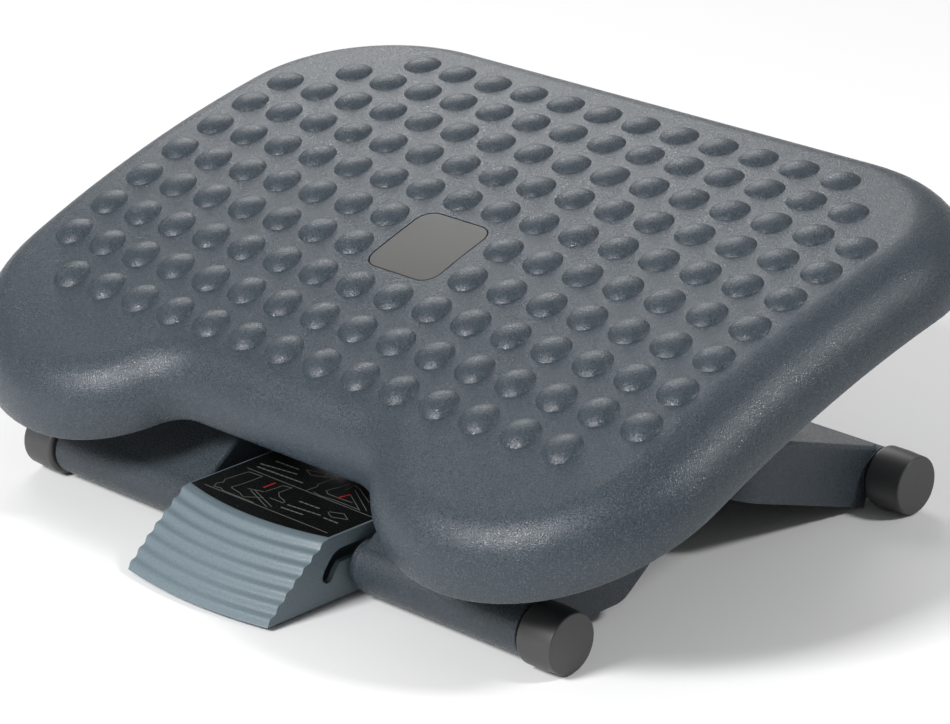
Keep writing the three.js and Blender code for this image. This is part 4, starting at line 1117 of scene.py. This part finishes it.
def front_tube(side):
    outline = chamfered(TUBE_INNER_END - COLLAR_LENGTH, COLLAR_RADIUS, COLLAR_EDGE)
    outline.append((TUBE_INNER_END, COLLAR_RADIUS))
    rim = TUBE_RADIUS - TUBE_ROUNDING
    outline += arc_points((TUBE_INNER_END + TUBE_ROUNDING, rim), TUBE_ROUNDING, 180, 90, ROUND_STEP)
    outline += arc_points((TUBE_END - TUBE_EDGE, TUBE_RADIUS - TUBE_EDGE), TUBE_EDGE, 90, 0, EDGE_STEP)
    return lathe(sided([*outline, (TUBE_END, 0)], side))


def front_leg():
    shell, hollow = leg_shell(front_outline, -OVERRUN, SHELL_DEPTH)
    parts = [cut(shell, [hollow])]
    for side, _ in SIDES:
        parts.append(profile(front_wall(), side_span(side, LEG_HALF - LEG_SKIN, LEG_HALF)))
        parts.append(front_tube(side))
        span = side_span(side, OPENING_HALF + LEG_SKIN / 2, LEG_HALF - LEG_SKIN / 2)
        for y in (CROSSING_REACH / 2, CROSSING_REACH + BOSS_RADIUS + LEG_RIB):
            parts.append(block(span, (y, y + LEG_RIB), LEG_RIB_SPAN))
        boss = side_span(side, OPENING_HALF, OPENING_HALF + LEG_SKIN + BOSS_LENGTH)
        parts.append(bar(BOSS_RADIUS, boss, CROSSING_REACH, 0, BOSS_EDGE))
    beam = (CROSSING_REACH + BEAM_GAP + LEG_SKIN / 2, HINGE_REACH)
    for place in (-1, 0, 1):
        parts.append(block(about(place * BARREL_HALF / 2, LEG_RIB), beam, LEG_RIB_SPAN))
    parts.append(bar(HINGE_BARREL, (-BARREL_HALF, BARREL_HALF), HINGE_REACH, 0, BARREL_EDGE))
    cuts = [
        pin_hole(HINGE_ROD, LEG_HALF, HINGE_REACH),
        pin_hole(SCISSOR_PIN, BARREL_HALF, CROSSING_REACH),
    ]
    end = TUBE_END + OVERRUN
    for side, _ in SIDES:
        cuts.append(bar(TUBE_RADIUS - TUBE_WALL, side_span(side, TUBE_INNER_END + TUBE_WALL, end)))
        cuts.append(bar(PEDAL_BOSS + RUNNING_GAP, side_span(side, 0, end), steps=PIN_STEPS))
    bm = cut(joined(parts), cuts)
    return piece(bm, "front_leg_moulding", LEG_PLASTIC, "front_leg", ["front_leg"])


# Rear leg, drawn with Y down along the leg to the rear tube and Z square to it


def rear_outline(inset, rear):
    fillet = (TONGUE_HALF + SHOULDER_FILLET, -SHOULDER_REACH - SHOULDER_FILLET)
    corner = (LEG_HALF - SHOULDER_CORNER, SHOULDER_CORNER - SHOULDER_REACH)
    half = [(TONGUE_HALF - inset, SLIDE_Y - BARREL_LAP + inset)]
    half += arc_points(fillet, SHOULDER_FILLET + inset, 180, 90)
    half += arc_points(corner, SHOULDER_CORNER - inset, -90, 0)
    return mirrored([*half, (LEG_HALF - inset, rear)])


def latch_cheek(side):
    top = LEG_RIB_SPAN[1]
    outline = [(-TUBE_RADIUS / 2, top), (-SHOULDER_REACH, top), (-SHOULDER_REACH, 0)]
    outline += arc_points(latch_rod_in_leg, LATCH_ROD + CHEEK_RIM, 180, 360, CHEEK_STEP)
    outline.append((-TUBE_RADIUS / 2, 0))
    return profile(outline, side_span(side, CHEEK_INNER, CHEEK_INNER + CHEEK_WALL))


def rear_leg():
    shell, hollow = leg_shell(rear_outline, OVERRUN, REAR_WALL_DEPTH)
    wide = LEG_HALF + OVERRUN
    tongue_end = (SLIDE_Y - BARREL_LAP - OVERRUN, -SHOULDER_REACH - SHOULDER_FILLET)
    low = -REAR_WALL_DEPTH - OVERRUN
    trims = [hollow, block((-LEG_HALF, LEG_HALF), tongue_end, (low, -SHELL_DEPTH))]
    for side, _ in SIDES:
        corner = side_span(side, LEG_HALF - REAR_CORNER_CUT, wide)
        trims.append(block(corner, (-REAR_WALL_GAP, OVERRUN), (low, TUBE_RADIUS + OVERRUN)))
    parts = [cut(shell, trims)]
    long_rib = (-SHOULDER_REACH + LEG_SKIN / 2, -TUBE_RADIUS / 2)
    for side, _ in SIDES:
        span = side_span(side, CHEEK_INNER + CHEEK_WALL / 2, LEG_HALF - LEG_SKIN / 2)
        for place in (1, 2):
            y = -SHOULDER_REACH * place / 3
            parts.append(block(span, (y, y + LEG_RIB), LEG_RIB_SPAN))
        x = side * (TONGUE_HALF + LEG_HALF) / 2
        parts.append(block(about(x, LEG_RIB), long_rib, LEG_RIB_SPAN))
        parts.append(latch_cheek(side))
    parts.append(bar(TUBE_RADIUS, (-TUBE_END, TUBE_END), edge=TUBE_EDGE))
    parts.append(bar(SLIDE_BARREL, (-TONGUE_HALF, TONGUE_HALF), SLIDE_Y, 0, BARREL_EDGE))
    cuts = [
        bar(TUBE_RADIUS - TUBE_WALL, (-wide, wide)),
        pin_hole(SCISSOR_PIN, wide, -REAR_REACH),
        pin_hole(SLIDE_PIN, wide, SLIDE_Y),
        pin_hole(LATCH_ROD, TONGUE_HALF, *latch_rod_in_leg),
    ]
    bm = cut(joined(parts), cuts)
    return piece(bm, "rear_leg_moulding", LEG_PLASTIC, "rear_leg", ["rear_leg"])


# Pedal, drawn from the front tube's axis


def tread_points():
    """The tread's rounded ridges, from the deck's front edge down to the lip."""
    start = Vector((-DECK_FRONT, DECK_HEIGHT))
    end = Vector((-LIP_REACH, -LIP_DROP))
    along = (end - start).normalized()
    outward = Vector((along.y, -along.x))
    points = []
    count = RIDGES * RIDGE_STEPS
    for step in range(count + 1):
        share = step / count
        wave = (1 - math.cos(2 * math.pi * share * RIDGES)) / 2
        bow = TREAD_BOW * 4 * share * (1 - share)
        points.append(tuple(start.lerp(end, share) + outward * (RIDGE_HEIGHT * wave + bow)))
    return points


def bulged(bm):
    """Pushes the front of a drawing forward in the middle of its width."""
    for vert in bm.verts:
        if vert.co.y < -DECK_FRONT + PEDAL_WALL:
            height = (vert.co.z + LIP_DROP) / (DECK_HEIGHT + LIP_DROP)
            share = min(1, max(0, height))
            bulge = LIP_BULGE + (TOP_BULGE - LIP_BULGE) * share
            vert.co.y -= bulge * (1 - (vert.co.x / PEDAL_HALF) ** 2)
    return bm


def striped(outline, half):
    """An outline in Y and Z pushed across, in stripes that can be bulged."""
    bm = profile(outline, (-half, half))
    for i in range(1, PEDAL_STRIPES):
        sliced(bm, (half * (2 * i / PEDAL_STRIPES - 1), 0, 0), (1, 0, 0), SAME_PLACE)
    return bm


def slot_outline():
    """The curved slot that frees the pivot's tongue, as a band round a smooth line."""
    rise = (TONGUE_TOP + BAND_FRONT) / 2
    knots = [Vector((SLOT_WIDTH * y, rise + SLOT_WIDTH * z)) for y, z in SLOT_SHARES]
    knots.append(Vector((TONGUE_REAR + SLOT_WIDTH, rise)))
    line = []
    for i in range(len(knots) - 1):
        before = knots[max(0, i - 1)]
        after = knots[min(len(knots) - 1, i + 2)]
        start, end = knots[i], knots[i + 1]
        bend = 2 * before - 5 * start + 4 * end - after
        twist = 3 * start - before - 3 * end + after
        for step in range(SLOT_STEPS):
            t = step / SLOT_STEPS
            line.append(0.5 * (2 * start + (end - before) * t + bend * t**2 + twist * t**3))
    line.append(knots[-1])
    left, right = [], []
    for i, point in enumerate(line):
        ahead = (line[min(i + 1, len(line) - 1)] - line[max(i - 1, 0)]).normalized()
        out = Vector((-ahead.y, ahead.x)) * SLOT_BAND / 2
        left.append(tuple(point + out))
        right.append(tuple(point - out))
    ahead = (line[1] - line[0]).normalized()
    heading = math.degrees(math.atan2(ahead.y, ahead.x))
    end = arc_points(tuple(line[0]), SLOT_BAND / 2, heading + 90, heading + 270, SLOT_END_STEP)
    return right[::-1] + end[::-1][1:-1] + left


def pedal():
    outline = [*tread_points(), (-PEDAL_HEEL, -LIP_DROP), (TONGUE_REAR, -LIP_DROP / 2)]
    outline += [(TONGUE_REAR, TONGUE_TOP), (TONGUE_REAR, BAND_FRONT)]
    outline += [(DECK_REAR, BAND_REAR), (DECK_REAR, DECK_HEIGHT)]
    slope = math.hypot(LIP_REACH - DECK_FRONT, DECK_HEIGHT + LIP_DROP) / (DECK_HEIGHT + LIP_DROP)
    wall = PEDAL_WALL * slope
    low, high = -LIP_DROP - OVERRUN, DECK_HEIGHT - PEDAL_WALL
    rear = DECK_REAR + OVERRUN
    inside = [(-DECK_FRONT - PEDAL_WALL / 2 + wall / 2, high), (-LIP_REACH - OVERRUN + wall, low)]
    inside += [(rear, low), (rear, high)]
    inner = PEDAL_HALF - PEDAL_WALL
    body = bulged(striped(outline, PEDAL_HALF))
    hollow = bulged(striped(inside, inner))
    wide = (-PEDAL_HALF - OVERRUN, PEDAL_HALF + OVERRUN)
    shell = cut(body, [hollow, profile(slot_outline(), wide)])
    boss_spans = [side_span(side, inner, PEDAL_HALF + PEDAL_BOSS_LENGTH) for side, _ in SIDES]
    bosses = [bar(PEDAL_BOSS, span, 0, 0, PIN_EDGE, PIN_STEPS) for span in boss_spans]
    ribs = [profile(PEDAL_RIB, about(side * PEDAL_RIB_PLACE, PEDAL_RIB_WALL)) for side, _ in SIDES]
    depth = (0, DECK_HEIGHT - LATCH_HOLE_SKIN)
    screw_places = about((LATCH_BAR_FRONT + DECK_REAR) / 2, LATCH_SCREW_SPACING)
    holes = [screw_hole(LATCH_SCREW_SHANK, 0, y, depth) for y in screw_places]
    bm = cut(joined([shell, *bosses, *ribs]), holes)
    return piece(bm, "pedal_moulding", PEDAL_PLASTIC, "pedal", ["pedal"], PEDAL_CREASE)


def pedal_label():
    low, high = DECK_HEIGHT, DECK_HEIGHT + LABEL_THICKNESS
    front, rear = LABEL_INSET - DECK_FRONT, DECK_REAR - LABEL_INSET
    outline = [(front, low), (front, high), (rear, high), (rear, low)]
    bm = bulged(striped(outline, PEDAL_HALF - LABEL_INSET))
    return piece(bm, "pedal_label_film", LABEL_FILM, "pedal", ["pedal_label"])


# Line drawings on the label: a panel with lower legs on a tilted footrest and an arrow, twice
INK_HEIGHT = 0.05
LINE_WIDTH = 0.32
ROW_WIDTH = 0.75
MARK_WIDTH = 1.1
PALE_LINES = (
    ((-40, -17.8), (42.5, -17.8)),
    ((-40, 9.2), (45, 8.6)),
    ((-35, -16.5), (-37, -13), (-35.5, -10), (-37.5, -7.5), (-36, 6.5), (-27, 7)),
    ((-27, 7), (-27.5, -6.5), (-28.5, -11.5), (-26, -12.5), (-20.5, -13.5), (-16.5, -15.5)),
    ((-35, -16.5), (-31, -15.5), (-28.5, -17), (-7.5, -17)),
    ((-21.5, -7.5), (-13.5, -5)),
    ((-19, -8), (1, -16.5)),
    ((-18, -6.5), (2, -14.5)),
    ((-16, -15.5), (-8.5, -10)),
    ((-13, -4.5), (-12, 6), (-7, 7), (-7.5, -1), (-4, -4), (2, -6), (3, -8), (-6, -8)),
    ((26.5, -2), (26, -0.5), (32.5, 2.5), (38.5, -1), (31, -4), (26.5, -2)),
    ((-18, 26.5), (-11.5, 23.5), (-5, 26.5), (-7, 30), (-18, 26.5)),
    ((0, 9.5), (0.5, 16), (-1, 18.5), (-1, 28.5)),
    ((9.5, 28.5), (7, 15.5), (10.5, 13.5), (17, 13.5), (26, 14)),
    ((4, 10.5), (9, 9.5), (17.5, 10.5), (34.5, 10.5)),
    ((18.5, 20), (35, 10)),
    ((16.5, 25), (37.5, 12)),
    ((13, 22.5), (12, 29), (17, 27.5), (31.5, 19.5)),
)
# Rows of plain dashes: start, end
PALE_ROWS = (
    ((7, -1.5), (20.5, -1)),
    ((6, -8), (26.5, -6)),
    ((6, -12), (20, -11)),
    ((29, -7), (39, -7)),
    ((-36, 24), (-20, 24.5)),
    ((-39, 17), (-16.5, 20)),
    ((-37.5, 13.5), (-7, 14.5)),
)
DASH = 3.1
DASH_SHARE = 0.72
RED_LINES = (((-17, -1.5), (-17, 5.5)), ((17, 13.5), (18.5, 20)))


def ink_bar(bm, start, end, width):
    along = Vector(end) - Vector(start)
    middle = (Vector(start) + Vector(end)) / 2
    place = Matrix.Translation((*middle, DECK_HEIGHT + LABEL_THICKNESS))
    turn = Matrix.Rotation(math.atan2(along.y, along.x), 4, "Z")
    size = Matrix.Diagonal((along.length + width / 2, width, INK_HEIGHT * 2, 1))
    bmesh.ops.create_cube(bm, size=1, matrix=place @ turn @ size)


def ink_lines(lines, name, finish, width, rows=()):
    """Thin raised strokes of ink on the label, as one mesh."""
    bm = bmesh.new()
    for line in lines:
        for start, end in zip(line, line[1:]):
            ink_bar(bm, start, end, width)
    for start, end in rows:
        along = Vector(end) - Vector(start)
        count = max(2, round(along.length / DASH))
        for i in range(count):
            left = Vector(start) + along * (i / count)
            right = Vector(start) + along * ((i + DASH_SHARE) / count)
            ink_bar(bm, left, right, ROW_WIDTH)
    return piece(bm, name, finish, "pedal", [], even=False)


# Build the footrest
foot_tray()
centre_plate()
front_leg()
rear_leg()
pedal()
pedal_label()
ink_lines(PALE_LINES, "label_drawing", LABEL_INK, LINE_WIDTH, PALE_ROWS)
ink_lines(RED_LINES, "label_marks", LABEL_RED, MARK_WIDTH)
for side, word in SIDES:
    end_foot(f"front_foot_{word}", side, "front_feet")
    end_foot(f"rear_foot_{word}", side, "rear_feet")
steel_pieces()
seat_screw_pieces(HINGE_SEAT, "hinge_bracket")
seat_screw_pieces(RAIL_SEAT, "slide_rail")

CAD_FINISHES = {
    STEEL: ("hinge_bracket_left", "hinge_bracket_right", "latch_screw_front", "latch_screw_rear"),
    NYLON: ("slide_rail_left", "slide_rail_right", "latch_bar"),
}
for finish, nodes in CAD_FINISHES.items():
    for node in nodes:
        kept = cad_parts[node]
        for holder in kept.material_slots:
            holder.material = finish.material

# Floor, light and camera
FLOOR_HALF = 6.0
FLOOR_DROP = 0.0004  # keeps the feet's flats clear of the floor's face
floor_bm = bmesh.new()
bmesh.ops.create_grid(floor_bm, x_segments=4, y_segments=4, size=FLOOR_HALF)
floor = mesh_object(floor_bm, "studio_floor")
floor.location.z = -FLOOR_DROP
floor_paint = bpy.data.materials.new("floor_white")
floor_paint.use_nodes = True
floor_shader = floor_paint.node_tree.nodes["Principled BSDF"]
floor_shader.inputs["Base Color"].default_value = (0.92, 0.92, 0.92, 1)
floor_shader.inputs["Roughness"].default_value = 0.9
floor.data.materials.append(floor_paint)

world = bpy.data.worlds.new("studio")
bpy.context.scene.world = world
world.use_nodes = True
sky = world.node_tree.nodes["Background"]
sky.inputs["Color"].default_value = (1, 1, 1, 1)
sky.inputs["Strength"].default_value = 0.29
bpy.context.scene.view_settings.view_transform = "Standard"

# Softboxes: name, bearing from +X and height above the floor in degrees, distance, width, power
AIM = Vector((0, 0, 0.09))
LIGHTS = (
    ("key_softbox", -100, 36, 2.6, 0.7, 69),
    ("side_softbox", 24, 42, 2.6, 0.4, 27),
    ("rear_softbox", 142, 30, 3.0, 1.5, 26),
)
for name, bearing, height, distance, size, power in LIGHTS:
    lamp = bpy.data.lights.new(name, "AREA")
    lamp.shape = "SQUARE"
    lamp.size = size
    lamp.energy = power
    holder = in_scene(name, lamp)
    turn = Matrix.Rotation(math.radians(bearing), 3, "Z") @ Matrix.Rotation(math.radians(-height), 3, "Y")
    outward = turn @ Vector((1, 0, 0))
    holder.location = AIM + outward * distance
    holder.rotation_euler = outward.to_track_quat("Z", "Y").to_euler()
    holder.visible_camera = False

CAMERA_PLACE = (1.2199, -1.2298, 0.7420)
CAMERA_RIGHT = Vector((0.71736965, 0.69664265, -0.00835471))
CAMERA_DOWN = Vector((0.24630557, -0.26481488, -0.93231252))
CAMERA_AHEAD = Vector((-0.65170112, 0.6667549, -0.36155713))
CAMERA_LENS = 147.6
camera_data = bpy.data.cameras.new("camera")
camera_data.lens = CAMERA_LENS
camera_data.clip_start = 0.05
camera_data.clip_end = 20
camera = in_scene("camera", camera_data)
turn = Matrix((CAMERA_RIGHT, -CAMERA_DOWN, -CAMERA_AHEAD)).transposed()
camera.matrix_world = Matrix.Translation(CAMERA_PLACE) @ turn.to_4x4()
bpy.context.scene.camera = camera
